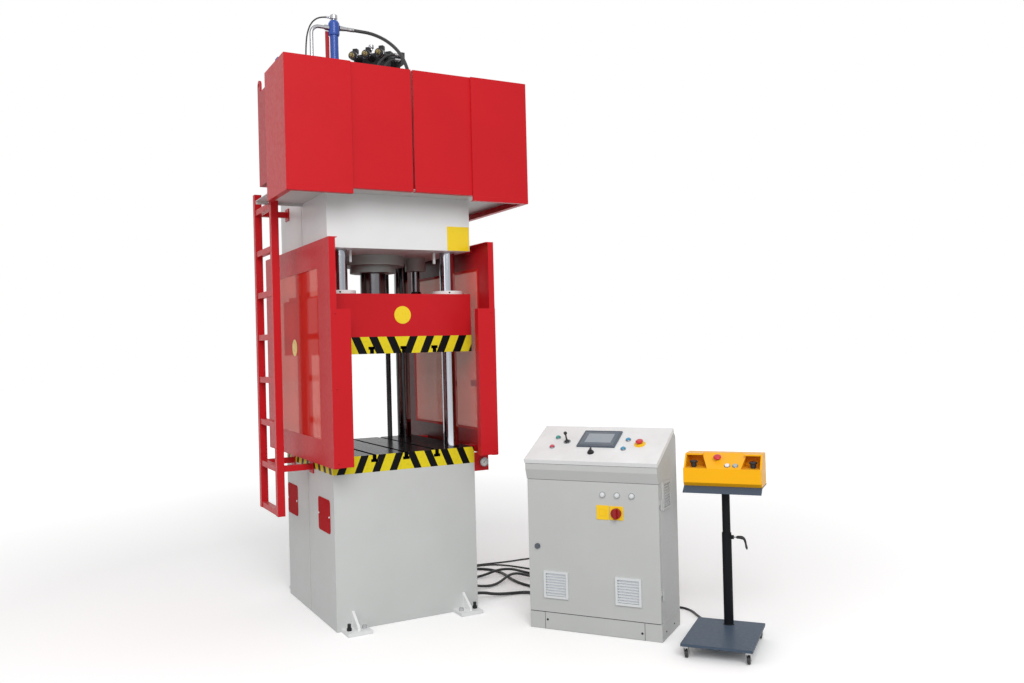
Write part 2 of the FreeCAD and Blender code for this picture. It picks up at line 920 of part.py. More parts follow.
def slide():
    """The moving platen: a red body on a slotted plate, its bushes and its rods."""
    plate = box(
        "slide_plate_blank",
        ("-base_width / 2", "-base_depth / 2", TOP),
        ("base_width", "base_depth", "plate_thick"),
    )
    holes = column_tools(
        "slide_plate_hole",
        f"{TOP} - 5",
        "plate_thick + 10",
        "column_radius + slide_hole_gap",
    )
    piece("slide_plate", cut("slide_plate", plate, *slots("slide_slot", TOP, 1), *holes))

    low = f"{TOP} + plate_thick"
    body = box(
        "slide_blank",
        ("-base_width / 2", "-base_depth / 2", low),
        ("base_width", "base_depth", "slide_height - plate_thick"),
    )
    cells = [
        box(
            f"slide_cell_{i}",
            ("-slide_cell_wide / 2", y, f"{SLIDE_TOP} - slide_cell_deep"),
            ("slide_cell_wide", "slide_cell_far - slide_cell_near", "slide_cell_deep + 5"),
        )
        for i, y in ((1, "-slide_cell_far"), (2, "slide_cell_near"))
    ]
    holes = column_tools("slide_hole", f"{low} - 5", "slide_height", "column_radius + slide_hole_gap")
    seats = column_tools(
        "slide_bush_seat",
        f"{SLIDE_TOP} - bush_sleeve_long",
        "bush_sleeve_long + 5",
        "bush_sleeve_radius + bush_seat_gap",
    )
    piece("slide_body", cut("slide_body", body, *cells, *holes, *seats))

    bushes = [
        turned(
            f"guide_bush_{i}",
            [
                ("column_radius + running_gap", f"{SLIDE_TOP} - bush_sleeve_long"),
                ("bush_sleeve_radius", f"{SLIDE_TOP} - bush_sleeve_long"),
                ("bush_sleeve_radius", SLIDE_TOP),
                ("bush_flange_radius", SLIDE_TOP),
                ("bush_flange_radius", f"{SLIDE_TOP} + bush_flange_thick"),
                ("column_radius + running_gap", f"{SLIDE_TOP} + bush_flange_thick"),
            ],
            (f"{sx} * column_x", f"{sy} * column_y", 0),
        )
        for i, (sx, sy) in enumerate(CORNERS, 1)
    ]
    piece("guide_bushes", group("guide_bushes", *bushes))

    rod = turned(
        "main_rod",
        [
            (0, SLIDE_TOP),
            ("rod_foot_radius", SLIDE_TOP),
            ("rod_foot_radius", f"{SLIDE_TOP} + rod_foot_thick"),
            ("rod_radius", f"{SLIDE_TOP} + rod_foot_thick"),
            ("rod_radius", "piston_low"),
            ("bore_radius - running_gap", "piston_low"),
            ("bore_radius - running_gap", "piston_low + piston_high"),
            (0, "piston_low + piston_high"),
        ],
        (0, 0, 0),
    )
    side_rod = turned(
        "side_rod",
        [
            (0, SLIDE_TOP),
            ("side_foot_radius", SLIDE_TOP),
            ("side_foot_neck", f"{SLIDE_TOP} + side_foot_high"),
            ("side_rod_radius", f"{SLIDE_TOP} + side_foot_high"),
            ("side_rod_radius", "side_piston_low"),
            ("side_bore_radius - running_gap", "side_piston_low"),
            ("side_bore_radius - running_gap", "side_piston_low + side_piston_high"),
            (0, "side_piston_low + side_piston_high"),
        ],
        ("-side_cylinder_x", 0, 0),
    )
    piece("ram_rods", group("ram_rods", rod, side_rod, mirrored("side_rod_right", side_rod)))


# ---------------------------------------------------------- guards and ladder


def guards():
    """A folded sheet down each side with a tinted pane, and a cover over each light curtain."""
    inner = "guard_x - sheet"
    long = "guard_front + guard_rear"
    high = "guard_top - guard_low"
    web = box("guard_web", (inner, "-guard_front", "guard_low"), ("sheet", long, high))
    front = box(
        "guard_front_lip_sheet",
        ("guard_x - guard_front_lip", "-guard_front", "guard_low"),
        ("guard_front_lip", "sheet", high),
    )
    top = box(
        "guard_top_lip_sheet",
        ("guard_x - guard_top_lip", "-guard_front", "guard_top - sheet"),
        ("guard_top_lip", long, "sheet"),
    )
    low = box(
        "guard_low_lip_sheet",
        ("guard_x - guard_front_lip", "-guard_front", "guard_low"),
        ("guard_front_lip", long, "sheet"),
    )
    tabs = []
    for i, sy in ((1, -1), (2, 1)):
        y = f"{sy} * column_y - guard_tab_long / 2"
        tabs.append(
            box(
                f"guard_tab_low_{i}",
                ("base_width / 2", y, "guard_low"),
                (f"{inner} - base_width / 2", "guard_tab_long", f"table_height - guard_low"),
            )
        )
        tabs.append(
            box(
                f"guard_tab_top_{i}",
                ("crown_width / 2", y, CROWN_LOW),
                (f"{inner} - crown_width / 2", "guard_tab_long", f"guard_top - {CROWN_LOW}"),
            )
        )
    window = box(
        "guard_window_hole",
        ("guard_x - 10", "-window_front", "window_low"),
        ("20", "window_front + window_rear", "window_top - window_low"),
    )
    right = cut("guard_right", fuse("guard_right_folded", web, front, top, low, *tabs), window)
    piece("guard_sheets", both_sides("guard_sheets", right))

    pane = box(
        "pane_right",
        (f"{inner} - pane_thick", "-window_front - pane_lap", "window_low - pane_lap"),
        (
            "pane_thick",
            "window_front + window_rear + 2 * pane_lap",
            "window_top - window_low + 2 * pane_lap",
        ),
    )
    piece("guard_windows", both_sides("guard_windows", pane))

    face = box(
        "cover_face",
        ("guard_x - cover_wide", "-guard_front - sheet", "guard_low + sheet"),
        ("cover_wide", "sheet", "cover_high"),
    )
    lip = box(
        "cover_side",
        ("guard_x - cover_wide", "-guard_front - sheet", "guard_low + sheet"),
        ("sheet", "cover_lip", "cover_high"),
    )
    piece("curtain_covers", both_sides("curtain_covers", fuse("cover_right", face, lip)))

    bar = box(
        "curtain_right",
        (
            "guard_x - sheet - curtain_inset - curtain_wide",
            "-guard_front + sheet",
            "guard_low + sheet + curtain_inset",
        ),
        ("curtain_wide", "curtain_deep", "cover_high - 2 * curtain_inset"),
    )
    piece("light_curtains", both_sides("light_curtains", bar))


def ladder():
    """Two square stiles with rungs between, held off the base and the crown by three struts."""
    half = "ladder_tube / 2"
    lowest = "rung_top - (rung_count - 1) * rung_pitch"
    x = f"-ladder_x - {half}"
    parts = []
    for side, top in (("near", "deck_low"), ("far", "ladder_far_top")):
        low = f"{lowest} - rung_tube / 2"
        parts.append(
            box(
                f"stile_{side}",
                (x, f"ladder_{side}_y - {half}", low),
                ("ladder_tube", "ladder_tube", f"{top} - ({low})"),
            )
        )
    for i in range(int(size("rung_count"))):
        parts.append(
            box(
                f"rung_{i + 1}",
                (
                    "-ladder_x - rung_tube / 2",
                    f"ladder_near_y + {half}",
                    f"rung_top - {i} * rung_pitch - rung_tube / 2",
                ),
                ("rung_tube", "ladder_far_y - ladder_near_y - ladder_tube", "rung_tube"),
            )
        )
    seventh = "rung_top - (rung_count - 2) * rung_pitch"
    for name, y, z, wall in (
        ("near", "ladder_near_y", seventh, "base_width / 2"),
        ("far", "ladder_far_y", seventh, "base_width / 2"),
        ("top", "ladder_far_y", "rung_top", "crown_width / 2"),
    ):
        start = f"-ladder_x + {half}"
        parts.append(
            box(
                f"strut_{name}",
                (start, f"{y} - rung_tube / 2", f"{z} - rung_tube / 2"),
                (f"-({wall}) - ({start})", "rung_tube", "rung_tube"),
            )
        )
        parts.append(
            box(
                f"strut_pad_{name}",
                (f"-({wall}) - ladder_pad_thick", f"{y} - ladder_pad / 2", f"{z} - ladder_pad / 2"),
                ("ladder_pad_thick", "ladder_pad", "ladder_pad"),
            )
        )
    return piece("ladder", fuse("ladder", *parts))


# --------------------------------------------------- skirt round the top


def skirt():
    """Folded corner panels, two middle panels set back from them, and the deck that carries all."""
    half = "skirt_width / 2"
    high = "skirt_top - skirt_low"
    corners = []
    for side, sign, deep in (("left", -1, "skirt_left_deep"), ("right", 1, "skirt_right_deep")):
        def lean(name, near, far, y, z, wide_y, high_z):
            """A box from near to far, both measured inwards from the skirt's side."""
            low = f"-({half}) + {near}" if sign < 0 else f"{half} - ({far})"
            return box(f"{name}_{side}", (low, y, z), (f"({far}) - ({near})", wide_y, high_z))

        back = f"-skirt_front + {deep}"
        folds = [
            lean("corner_front", "0", "skirt_corner_wide", "-skirt_front", "skirt_low", "sheet", high),
            lean("corner_side", "0", "sheet", "-skirt_front", "skirt_low", deep, high),
            lean(
                "corner_return",
                "skirt_corner_wide - sheet",
                "skirt_corner_wide",
                "-skirt_front",
                "skirt_low",
                "skirt_inset",
                high,
            ),
            lean(
                "corner_foot",
                "0",
                "skirt_corner_wide",
                "-skirt_front",
                "skirt_low",
                "skirt_lip",
                "sheet",
            ),
            lean("corner_hem", "0", "skirt_lip", "-skirt_front", "skirt_low", deep, "sheet"),
            lean(
                "corner_head",
                "0",
                "skirt_corner_wide - skirt_overlap - 1",
                "-skirt_front",
                "skirt_top - sheet",
                "skirt_lip",
                "sheet",
            ),
            lean(
                "corner_back",
                "0",
                "skirt_lip",
                f"{back} - sheet",
                "deck_low + deck_thick",
                "sheet",
                "skirt_top - deck_low - deck_thick",
            ),
        ]
        corners.append(fuse(f"skirt_corner_{side}", *folds))
    piece("skirt_corners", group("skirt_corners", *corners))

    low = "skirt_low + skirt_raise"
    start = f"{half} - skirt_corner_wide + skirt_overlap"
    wide = f"{start} - skirt_middle_gap / 2"
    front = "-skirt_front + skirt_inset"
    folds = [
        box("middle_face", (f"-({start})", front, low), (wide, "sheet", f"skirt_top - ({low})")),
        box("middle_foot", (f"-({start})", front, low), (wide, "skirt_lip", "sheet")),
        box("middle_head", (f"-({start})", front, "skirt_top - sheet"), (wide, "skirt_lip", "sheet")),
        box(
            "middle_edge",
            ("-skirt_middle_gap / 2 - sheet", front, "deck_low + deck_thick"),
            ("sheet", "skirt_lip", "skirt_top - deck_low - deck_thick"),
        ),
        box(
            "middle_hem",
            (f"-({half}) + skirt_corner_wide + 1", f"{front} - sheet / 2", low),
            (f"{wide} - skirt_overlap - 1", "sheet", "skirt_hem"),
        ),
    ]
    piece("skirt_panels", both_sides("skirt_panels", fuse("middle_panel", *folds)))

    inner = f"{half} - sheet"
    front = "-skirt_front + skirt_inset + sheet"
    rear = "-skirt_front + skirt_right_deep"
    deck = box(
        "deck_blank",
        (f"-({inner})", front, "deck_low"),
        (f"2 * ({inner})", f"{rear} - ({front})", "deck_thick"),
    )
    well = box(
        "deck_well",
        ("-crown_width / 2 - deck_gap", "-base_depth / 2 - deck_gap", "deck_low - 5"),
        ("crown_width + 2 * deck_gap", "base_depth + 100", "deck_thick + 10"),
    )
    left = box(
        "deck_left_cut",
        (f"-({half}) - 5", "-deck_left_rear", "deck_low - 5"),
        (f"{half} - crown_width / 2 + 10", "base_depth", "deck_thick + 10"),
    )
    lip_wide = f"{inner} - crown_width / 2 - deck_gap"
    lip_low = "deck_low - deck_lip"
    lips = [
        box(
            "deck_lip_left",
            (f"-({inner})", "-deck_left_rear - sheet", lip_low),
            (lip_wide, "sheet", "deck_lip"),
        ),
        box(
            "deck_lip_right",
            ("crown_width / 2 + deck_gap", f"{rear} - sheet", lip_low),
            (lip_wide, "sheet", "deck_lip"),
        ),
    ]
    notch = box(
        "deck_lip_notch",
        ("-ladder_x - rung_tube / 2 - 1", "-deck_left_rear - sheet - 5", "deck_low - deck_lip - 5"),
        ("rung_tube + 2", "sheet + 10", "deck_lip + 5"),
    )
    lips[0] = cut("deck_lip_notched", lips[0], notch)
    post_spots = [
        (f"-({inner})", front),
        (f"{inner} - skirt_post", front),
        (f"-({inner})", "-skirt_front + skirt_left_deep - sheet - skirt_post"),
        (f"{inner} - skirt_post", f"{rear} - sheet - skirt_post"),
    ]
    posts = [
        box(
            f"skirt_post_{i}",
            (x, y, "deck_low"),
            ("skirt_post", "skirt_post", "skirt_top - sheet - deck_low"),
        )
        for i, (x, y) in enumerate(post_spots, 1)
    ]
    piece("skirt_deck", fuse("skirt_deck", cut("deck_sheet", deck, well, left), *lips, *posts))


# ------------------------------------------------------- hydraulic unit on top


def hydraulics():
    tank = box(
        "tank_blank",
        ("-tank_left", "-tank_front", CROWN_TOP),
        ("tank_left - tank_right", "tank_front - tank_rear", f"tank_top - {CROWN_TOP}"),
    )
    lugs = []
    for i, x in ((1, "-tank_left"), (2, "-tank_right - lug_thick")):
        lug = box(
            f"lug_{i}_plate",
            (x, "-tank_rear - lug_wide", "tank_top - 5"),
            ("lug_thick", "lug_wide", "lug_high - lug_wide / 2 + 5"),
        )
        crest = cylinder(
            f"lug_{i}_crest",
            (x, "-tank_rear - lug_wide / 2", "tank_top + lug_high - lug_wide / 2"),
            "lug_wide / 2",
            "lug_thick",
            X,
        )
        eye = cylinder(
            f"lug_{i}_eye",
            (f"{x} - 5", "-tank_rear - lug_wide / 2", "tank_top + lug_high - lug_wide / 2"),
            "lug_hole",
            "lug_thick + 10",
            X,
        )
        lugs.append(cut(f"lug_{i}", fuse(f"lug_{i}_blank", lug, crest), eye))
    post_x = "filter_x - filter_bowl_radius - filter_post_wide - 1"
    post = box(
        "filter_post",
        (post_x, "filter_y + 12", "tank_top - 5"),
        (
            "filter_post_wide",
            "filter_post_thick",
            "filter_port_high - fitting_radius - 2 - tank_top + 5",
        ),
    )
    arm = box(
        "filter_arm",
        (post_x, "filter_y + 12", "filter_head_low + 5"),
        (f"filter_x - ({post_x})", "filter_post_thick", "20"),
    )
    head_space = cylinder(
        "filter_head_space",
        ("filter_x", "filter_y", "filter_head_low - 5"),
        "filter_head_radius + nut_gap",
        "filter_head_high + 10",
    )
    arm_seated = cut("filter_arm_seated", fuse("filter_mast", post, arm), head_space)
    ports = [
        cylinder(
            f"tank_port_{i + 1}",
            ("-tank_right", "-return_port_y", f"tank_port_high - {i} * 50"),
            "return_radius + 5",
            "gland_long",
            X,
        )
        for i in range(2)
    ]
    piece("oil_tank", fuse("oil_tank", tank, *lugs, arm_seated, *ports))

    motor_z = "(deck_low + deck_thick + motor_foot_high + motor_radius)"
    ribs = int(12)
    motor = cylinder(
        "motor_frame",
        ("motor_left", "-motor_y", motor_z),
        "motor_radius - 8",
        "motor_long",
        X,
    )
    fins = [
        cylinder(
            f"motor_fin_{i}",
            (f"motor_left + motor_long * {i} / {ribs}", "-motor_y", motor_z),
            "motor_radius",
            "8",
            X,
        )
        for i in range(1, ribs - 2)
    ]
    cowl = cylinder(
        "motor_cowl",
        (f"motor_left + motor_long * {ribs - 2} / {ribs}", "-motor_y", motor_z),
        "motor_radius - 2",
        "motor_long / 6",
        X,
    )
    feet = box(
        "motor_feet",
        ("motor_left + motor_long / 4", "-motor_y - motor_radius / 2", "deck_low + deck_thick"),
        ("motor_long / 2", "motor_radius", "motor_foot_high + motor_radius / 2"),
    )
    bell = cylinder(
        "pump_bell",
        ("motor_left - bell_long", "-motor_y", motor_z),
        "bell_radius",
        "bell_long",
        X,
    )
    pump = cylinder(
        "pump_case",
        ("motor_left - bell_long - pump_long", "-motor_y", motor_z),
        "pump_radius",
        "pump_long",
        X,
    )
    port_x = "motor_left - bell_long - pump_long / 2"
    port = cylinder(
        "pump_port",
        (port_x, "-motor_y", motor_z),
        "pump_port_radius",
        "pump_radius + pump_port_high",
    )
    piece("pump_motor", fuse("pump_motor", motor, *fins, cowl, feet, bell, pump, port))

    block = box(
        "valve_body",
        ("-block_long / 2", "-block_deep / 2", 0),
        ("block_long", "block_deep", "block_high"),
    )
    parts = [block]
    for i in (-1, 0, 1):
        x = f"{i} * coil_pitch"
        coil = cylinder(
            f"coil_{i + 2}",
            (x, "-block_deep / 2", "coil_high"),
            "coil_radius",
            "coil_long",
            -Y,
        )
        nut = cylinder(
            f"coil_nut_{i + 2}",
            (x, "-block_deep / 2 - coil_long", "coil_high"),
            "coil_nut_radius",
            "coil_nut_long",
            -Y,
        )
        parts.append(fuse(f"coil_{i + 2}_with_nut", coil, nut))
    valve = group("valve_stack", *parts)
    valve.setExpression(
        "Placement", linked(
            "placement(vector(block_x; block_y; barrel_top); rotation(vector(0; 0; 1); block_turn))"
        )
    )
    plate_front = "return_y + 2 * return_radius"
    plate = box(
        "return_plate",
        ("return_plate_x", f"-({plate_front})", "return_high - return_apart - 3 * return_radius"),
        ("return_plate_thick", f"{plate_front} - 140", "return_apart + 5 * return_radius"),
    )
    piece("valve_block", group("valve_block", valve, plate))

    bowl_long = "filter_head_low - filter_bowl_low"
    bowl = turned(
        "filter_bowl",
        [
            (0, 0),
            ("filter_bowl_radius - 8", 0),
            ("filter_bowl_radius", 10),
            ("filter_bowl_radius", bowl_long),
            ("filter_head_radius - 3", bowl_long),
            ("filter_head_radius", f"{bowl_long} + 8"),
            ("filter_head_radius", f"{bowl_long} + filter_head_high - 14"),
            ("filter_bowl_radius", f"{bowl_long} + filter_head_high"),
            (0, f"{bowl_long} + filter_head_high"),
        ],
        ("filter_x", "filter_y", "filter_bowl_low"),
    )
    breather = turned(
        "breather",
        [
            (0, "tank_top"),
            ("breather_pipe_radius", "tank_top"),
            ("breather_pipe_radius", "breather_low"),
            ("breather_radius", "breather_low"),
            ("breather_radius", "breather_low + breather_high * 0.7"),
            ("breather_radius * 0.6", "breather_low + breather_high"),
            (0, "breather_low + breather_high"),
        ],
        ("breather_x", "breather_y", 0),
    )
    piece("oil_filter", group("oil_filter", bowl, breather))

    head_top = "filter_head_low + filter_head_high"
    indicator = turned(
        "indicator",
        [
            (0, 0),
            ("indicator_radius * 0.5", 0),
            ("indicator_radius * 0.5", 8),
            ("indicator_radius", 10),
            ("indicator_radius", "indicator_high - 4"),
            ("indicator_radius - 4", "indicator_high"),
            (0, "indicator_high"),
        ],
        ("filter_x", "filter_y", head_top),
    )
    right_fitting = cone(
        "right_fitting",
        ("filter_x + filter_head_radius", "filter_y", "filter_port_high + 6"),
        "fitting_radius",
        "hose_radius + 1",
        "fitting_long",
        X,
    )
    piece("filter_fittings", group("filter_fittings", indicator, right_fitting, return_pipe()))


def return_pipe():
    """Bright pipe: out of the filter head to the left, one bend, then down to the tank."""
    z, y, r = size("filter_port_high"), size("filter_y"), size("pipe_bend")
    start = V(size("filter_x") - size("filter_head_radius"), y, z)
    corner = V(size("pipe_x"), y, z)
    end = V(size("pipe_x"), y, size("tank_top"))
    along, down = (corner - start).normalize(), (end - corner).normalize()
    path = arc_path([start, corner, end], [r])
    pipe = tube(path, start, along, size("pipe_radius"))
    nut = Part.makeCylinder(size("fitting_radius"), size("fitting_long") / 2, start, along)
    flange = Part.makeCylinder(size("fitting_radius"), 20, end - down * 20, down)
    return solid("return_pipe", pipe.fuse(nut).fuse(flange).removeSplitter())


# ------------------------------------------------------------------- cords


def arc_path(points, radii=None):
    """Straight runs joined by tangent arcs, each as large as its two runs allow."""
    points = [V(*p) for p in points]
    edges, here = [], points[0]
    for i in range(1, len(points) - 1):
        before, corner, after = points[i - 1], points[i], points[i + 1]
        into, out = (corner - before).normalize(), (after - corner).normalize()
        turn = into.getAngle(out)
        shorter = min((corner - before).Length, (after - corner).Length)
        reach = radii[i - 1] * math.tan(turn / 2) if radii else 0.45 * shorter
        start, end = corner - into * reach, corner + out * reach
        bisector = (out - into).normalize()
        radius = reach / math.tan(turn / 2)
        middle = corner + bisector * (radius / math.cos(turn / 2) - radius)
        edges += [Part.LineSegment(here, start).toShape(), Part.Arc(start, middle, end).toShape()]
        here = end
    edges.append(Part.LineSegment(here, points[-1]).toShape())
    return Part.Wire(edges)


def tube(path, start, direction, radius):
    ring = Part.Wire(Part.Circle(start, direction, radius).toShape())
    return path.makePipeShell([ring], True, False)


def cord(name, points, radius, moved=V()):
    """A cord's round solid along its route, moved. Prints its tightest bend in diameters."""
    points = [V(*p) + moved for p in points]
    path = arc_path(points)
    body = tube(path, points[0], points[1] - points[0], radius)
    if body.ShapeType != "Solid":
        body = Part.makeSolid(body)
    tightest = min(edge.Curve.Radius for edge in path.Edges if edge.Curve.TypeId == "Part::GeomCircle")
    expected = math.pi * radius**2 * path.Length
    bend = tightest / 2 / radius
    ratio = body.Volume / expected
    print(f"{name}: length {path.Length:.0f}, tightest bend {bend:.1f} diameters, volume ratio {ratio:.4f}")
    return solid(name, body)


# --------------------------------------------------------- control cabinet

# A point in the cabinet's or the stand's own frame becomes one in the press's
# frame through the station's placement, which every piece of it carries.


def station(node, name, thing):
    thing.setExpression(
        "Placement", linked(
            f"placement(vector({name}_x; {name}_y; 0); rotation(vector(0; 0; 1); {name}_turn))"
        )
    )
    return piece(node, thing)


LID_SLOPE = "atan((desk_back_high - brow_top) / (desk_back_y + brow_out))"


def sloped(name, along, deep, thick, left="cabinet_shell", wide="cabinet_width - 2 * cabinet_shell"):
    """A flat strip of sheet in the cabinet's slope, from along to along + deep up the slope."""
    strip = box(name, (0, 0, 0), (wide, deep, thick))
    strip.setExpression(
        "Placement",
        linked(
            f"placement(vector({left}; "
            f"-brow_out + ({along}) * cos({LID_SLOPE}) + {thick} * sin({LID_SLOPE}); "
            f"brow_top + ({along}) * sin({LID_SLOPE}) - {thick} * cos({LID_SLOPE})); "
            f"rotation(vector(1; 0; 0); {LID_SLOPE}))"
        ),
    )
    return strip


def cabinet_shell():
    """The cabinet's sheets, each a solid of its own: cheeks, floor, back and the two surrounds."""
    front, door_head = "(door_thick + door_gap)", "(door_top + door_gap)"
    inner = "cabinet_width - 2 * cabinet_shell"
    slope_long = f"(desk_back_y + brow_out) / cos({LID_SLOPE})"
    cheek_high = [
        (0, 0),
        ("-brow_out", f"brow_low - {door_head}"),
        ("-brow_out", f"brow_top - {door_head}"),
        ("desk_back_y", f"desk_back_high - {door_head}"),
        ("cabinet_depth", f"rear_edge_high - {door_head}"),
        ("cabinet_depth", 0),
    ]
    parts = []
    for side, x in (("left", 0), ("right", "cabinet_width - cabinet_shell")):
        low = box(
            f"cheek_low_{side}",
            (x, front, "plinth_high"),
            ("cabinet_shell", f"cabinet_depth - {front}", f"{door_head} - plinth_high"),
        )
        if side == "right":
            mouth = box(
                "side_vent_mouth",
                ("cabinet_width - 10", "side_vent_y + 12", "side_vent_low + 12"),
                (20, "vent_wide - 24", "vent_high - 24"),
            )
            low = cut("cheek_low_right_open", low, mouth)
        parts += [
            low,
            prism(f"cheek_high_{side}", "YZ_Plane", cheek_high, "cabinet_shell", at=(x, 0, door_head)),
        ]
        jamb_x = "cabinet_shell" if side == "left" else "cabinet_width - door_frame"
        parts.append(
            box(
                f"door_jamb_{side}",
                (jamb_x, front, "plinth_high"),
                ("door_frame - cabinet_shell", "cabinet_shell", f"{door_head} - plinth_high"),
            )
        )
        rail_x = "cabinet_shell" if side == "left" else "cabinet_width - lid_frame"
        parts.append(
            sloped(
                f"lid_rail_{side}",
                "lid_frame",
                f"{slope_long} - 2 * lid_frame",
                "cabinet_shell",
                left=rail_x,
                wide="lid_frame - cabinet_shell",
            )
        )
    for end, z in (("low", "plinth_high"), ("high", f"{door_head} - door_frame")):
        parts.append(
            box(
                f"door_rail_{end}",
                ("door_frame", front, z),
                ("cabinet_width - 2 * door_frame", "cabinet_shell", "door_frame"),
            )
        )
    floor_y = f"({front} + cabinet_shell)"
    parts.append(
        box(
            "cabinet_floor",
            ("cabinet_shell", floor_y, "plinth_high"),
            (inner, f"cabinet_depth - cabinet_shell - {floor_y}", "cabinet_shell"),
        )
    )
    parts.append(
        box(
            "cabinet_back",
            ("cabinet_shell", "cabinet_depth - cabinet_shell", "plinth_high"),
            (inner, "cabinet_shell", "rear_edge_high - plinth_high - 2 * cabinet_shell"),
        )
    )
    brow = [
        (0, 0),
        ("-brow_out", f"brow_low - {door_head}"),
        ("-brow_out", f"brow_top - {door_head}"),
        (
            f"-brow_out + lid_frame * cos({LID_SLOPE})",
            f"brow_top - {door_head} + lid_frame * sin({LID_SLOPE})",
        ),
        (
            f"-brow_out + lid_frame * cos({LID_SLOPE}) + cabinet_shell * sin({LID_SLOPE})",
            f"brow_top - {door_head} + lid_frame * sin({LID_SLOPE}) - cabinet_shell * cos({LID_SLOPE})",
        ),
        ("-brow_out + cabinet_shell", f"brow_top - {door_head} - cabinet_shell"),
        ("-brow_out + cabinet_shell", f"brow_low - {door_head} + cabinet_shell / 3"),
        ("cabinet_shell * 0.8", "cabinet_shell"),
        (front, "cabinet_shell"),
        (front, 0),
    ]
    parts.append(prism("brow", "YZ_Plane", brow, inner, at=("cabinet_shell", 0, door_head)))
    cap = [
        (
            f"-brow_out + ({slope_long} - lid_frame) * cos({LID_SLOPE})",
            f"brow_top - {door_head} + ({slope_long} - lid_frame) * sin({LID_SLOPE})",
        ),
        ("desk_back_y", f"desk_back_high - {door_head}"),
        ("cabinet_depth", f"rear_edge_high - {door_head}"),
        ("cabinet_depth", f"rear_edge_high - {door_head} - 2 * cabinet_shell"),
        ("desk_back_y", f"desk_back_high - {door_head} - 1.4 * cabinet_shell"),
        (
            f"-brow_out + ({slope_long} - lid_frame) * cos({LID_SLOPE}) + cabinet_shell * sin({LID_SLOPE})",
            f"brow_top - {door_head} + ({slope_long} - lid_frame) * sin({LID_SLOPE})"
            f" - cabinet_shell * cos({LID_SLOPE})",
        ),
    ]
    parts.append(prism("rear_cap", "YZ_Plane", cap, inner, at=("cabinet_shell", 0, door_head)))
    return parts


def cabinet_body():
    """Folded sheets with a sloped top, open at the door and under the desk lid, on a plinth."""
    plinth = box(
        "plinth_outside",
        (0, "plinth_inset", 0),
        ("cabinet_width", "cabinet_depth - plinth_inset", "plinth_high"),
    )
    plinth_inside = box(
        "plinth_inside",
        (25, "plinth_inset + 25", -5),
        ("cabinet_width - 50", "cabinet_depth - plinth_inset - 50", "plinth_high"),
    )
    plate = box(
        "mounting_plate",
        ("gear_plate_inset", "cabinet_depth - gear_plate_deep", "gear_plate_low"),
        ("cabinet_width - 2 * gear_plate_inset", "gear_plate_deep - cabinet_shell", "gear_plate_high"),
    )
    vent = louvre("side_vent", ("cabinet_width", "side_vent_y", "side_vent_low"), side=True)
    glands = [
        cylinder(
            f"cabinet_gland_{i}",
            (x, "cabinet_depth", "gland_high"),
            f"{radius} + gland_wall",
            "gland_long",
            Y,
        )
        for i, (x, radius) in enumerate(CABINET_GLANDS, 1)
    ]
    station(
        "cabinet_body",
        "cabinet",
        group(
            "cabinet_body",
            *cabinet_shell(),
            cut("plinth", plinth, plinth_inside),
            plate,
            vent,
            *glands,
            *hinges(False),
        ),
    )


def louvre(name, at, side=False):
    """A square vent cover: a tapered frame round sloping slats."""
    if side:
        extent, step = ("vent_thick", "vent_wide", "vent_high"), ("-1", "12", "12")
        hole = ("vent_thick + 2", "vent_wide - 24", "vent_high - 24")
        slat = ("vent_thick - 4", "vent_wide - 20", "6")
        start = ("1", "10", "14")
    else:
        extent, step = ("vent_wide", "vent_thick", "vent_high"), ("12", "-1", "12")
        hole = ("vent_wide - 24", "vent_thick + 2", "vent_high - 24")
        slat = ("vent_wide - 20", "vent_thick - 4", "6")
        start = ("10", "3", "14")
    def moved(offset):
        return tuple(f"{a} + {b}" for a, b in zip(at, offset))
    frame = cut(
        f"{name}_frame",
        box(f"{name}_blank", at, extent),
        box(f"{name}_hole", moved(step), hole),
    )
    pitch = "(vent_high - 28) / vent_slats"
    slats = [
        box(f"{name}_slat_{i + 1}", moved((start[0], start[1], f"{start[2]} + {i} * {pitch}")), slat)
        for i in range(int(size("vent_slats")))
    ]
    return fuse(name, frame, *slats)


HINGE_AT = ("cabinet_width + hinge_out", "door_thick + 1")


def hinges(of_door):
    """One solid for each hinge. The door's knuckles sit on the cabinet's, which carry the pins."""
    parts = []
    for name in ("hinge_low", "hinge_high"):
        low = f"{name} + hinge_knuckle + nut_gap" if of_door else name
        side = "door" if of_door else "fixed"
        knuckle = cylinder(f"{name}_{side}_knuckle", (*HINGE_AT, low), "hinge_radius", "hinge_knuckle")
        if of_door:
            bore = cylinder(
                f"{name}_bore", (
                    *HINGE_AT,
                    f"{low} - 1",
                ), "hinge_pin_radius + running_gap", "hinge_knuckle + 2"
            )
            leaf = box(
                f"{name}_door_leaf",
                ("cabinet_width - door_gap", 2, low),
                ("door_gap + 2", "door_thick - 1", "hinge_knuckle"),
            )
            parts.append(cut(f"{name}_drilled", fuse(f"{name}_door_part", knuckle, leaf), bore))
        else:
            pin = cylinder(f"{name}_pin", (*HINGE_AT, low), "hinge_pin_radius", "2 * hinge_knuckle")
            leaf = box(
                f"{name}_fixed_leaf", ("cabinet_width", "door_thick + 1", low), (2, 24, "hinge_knuckle")
            )
            parts.append(fuse(f"{name}_fixed", knuckle, pin, leaf))
    return parts


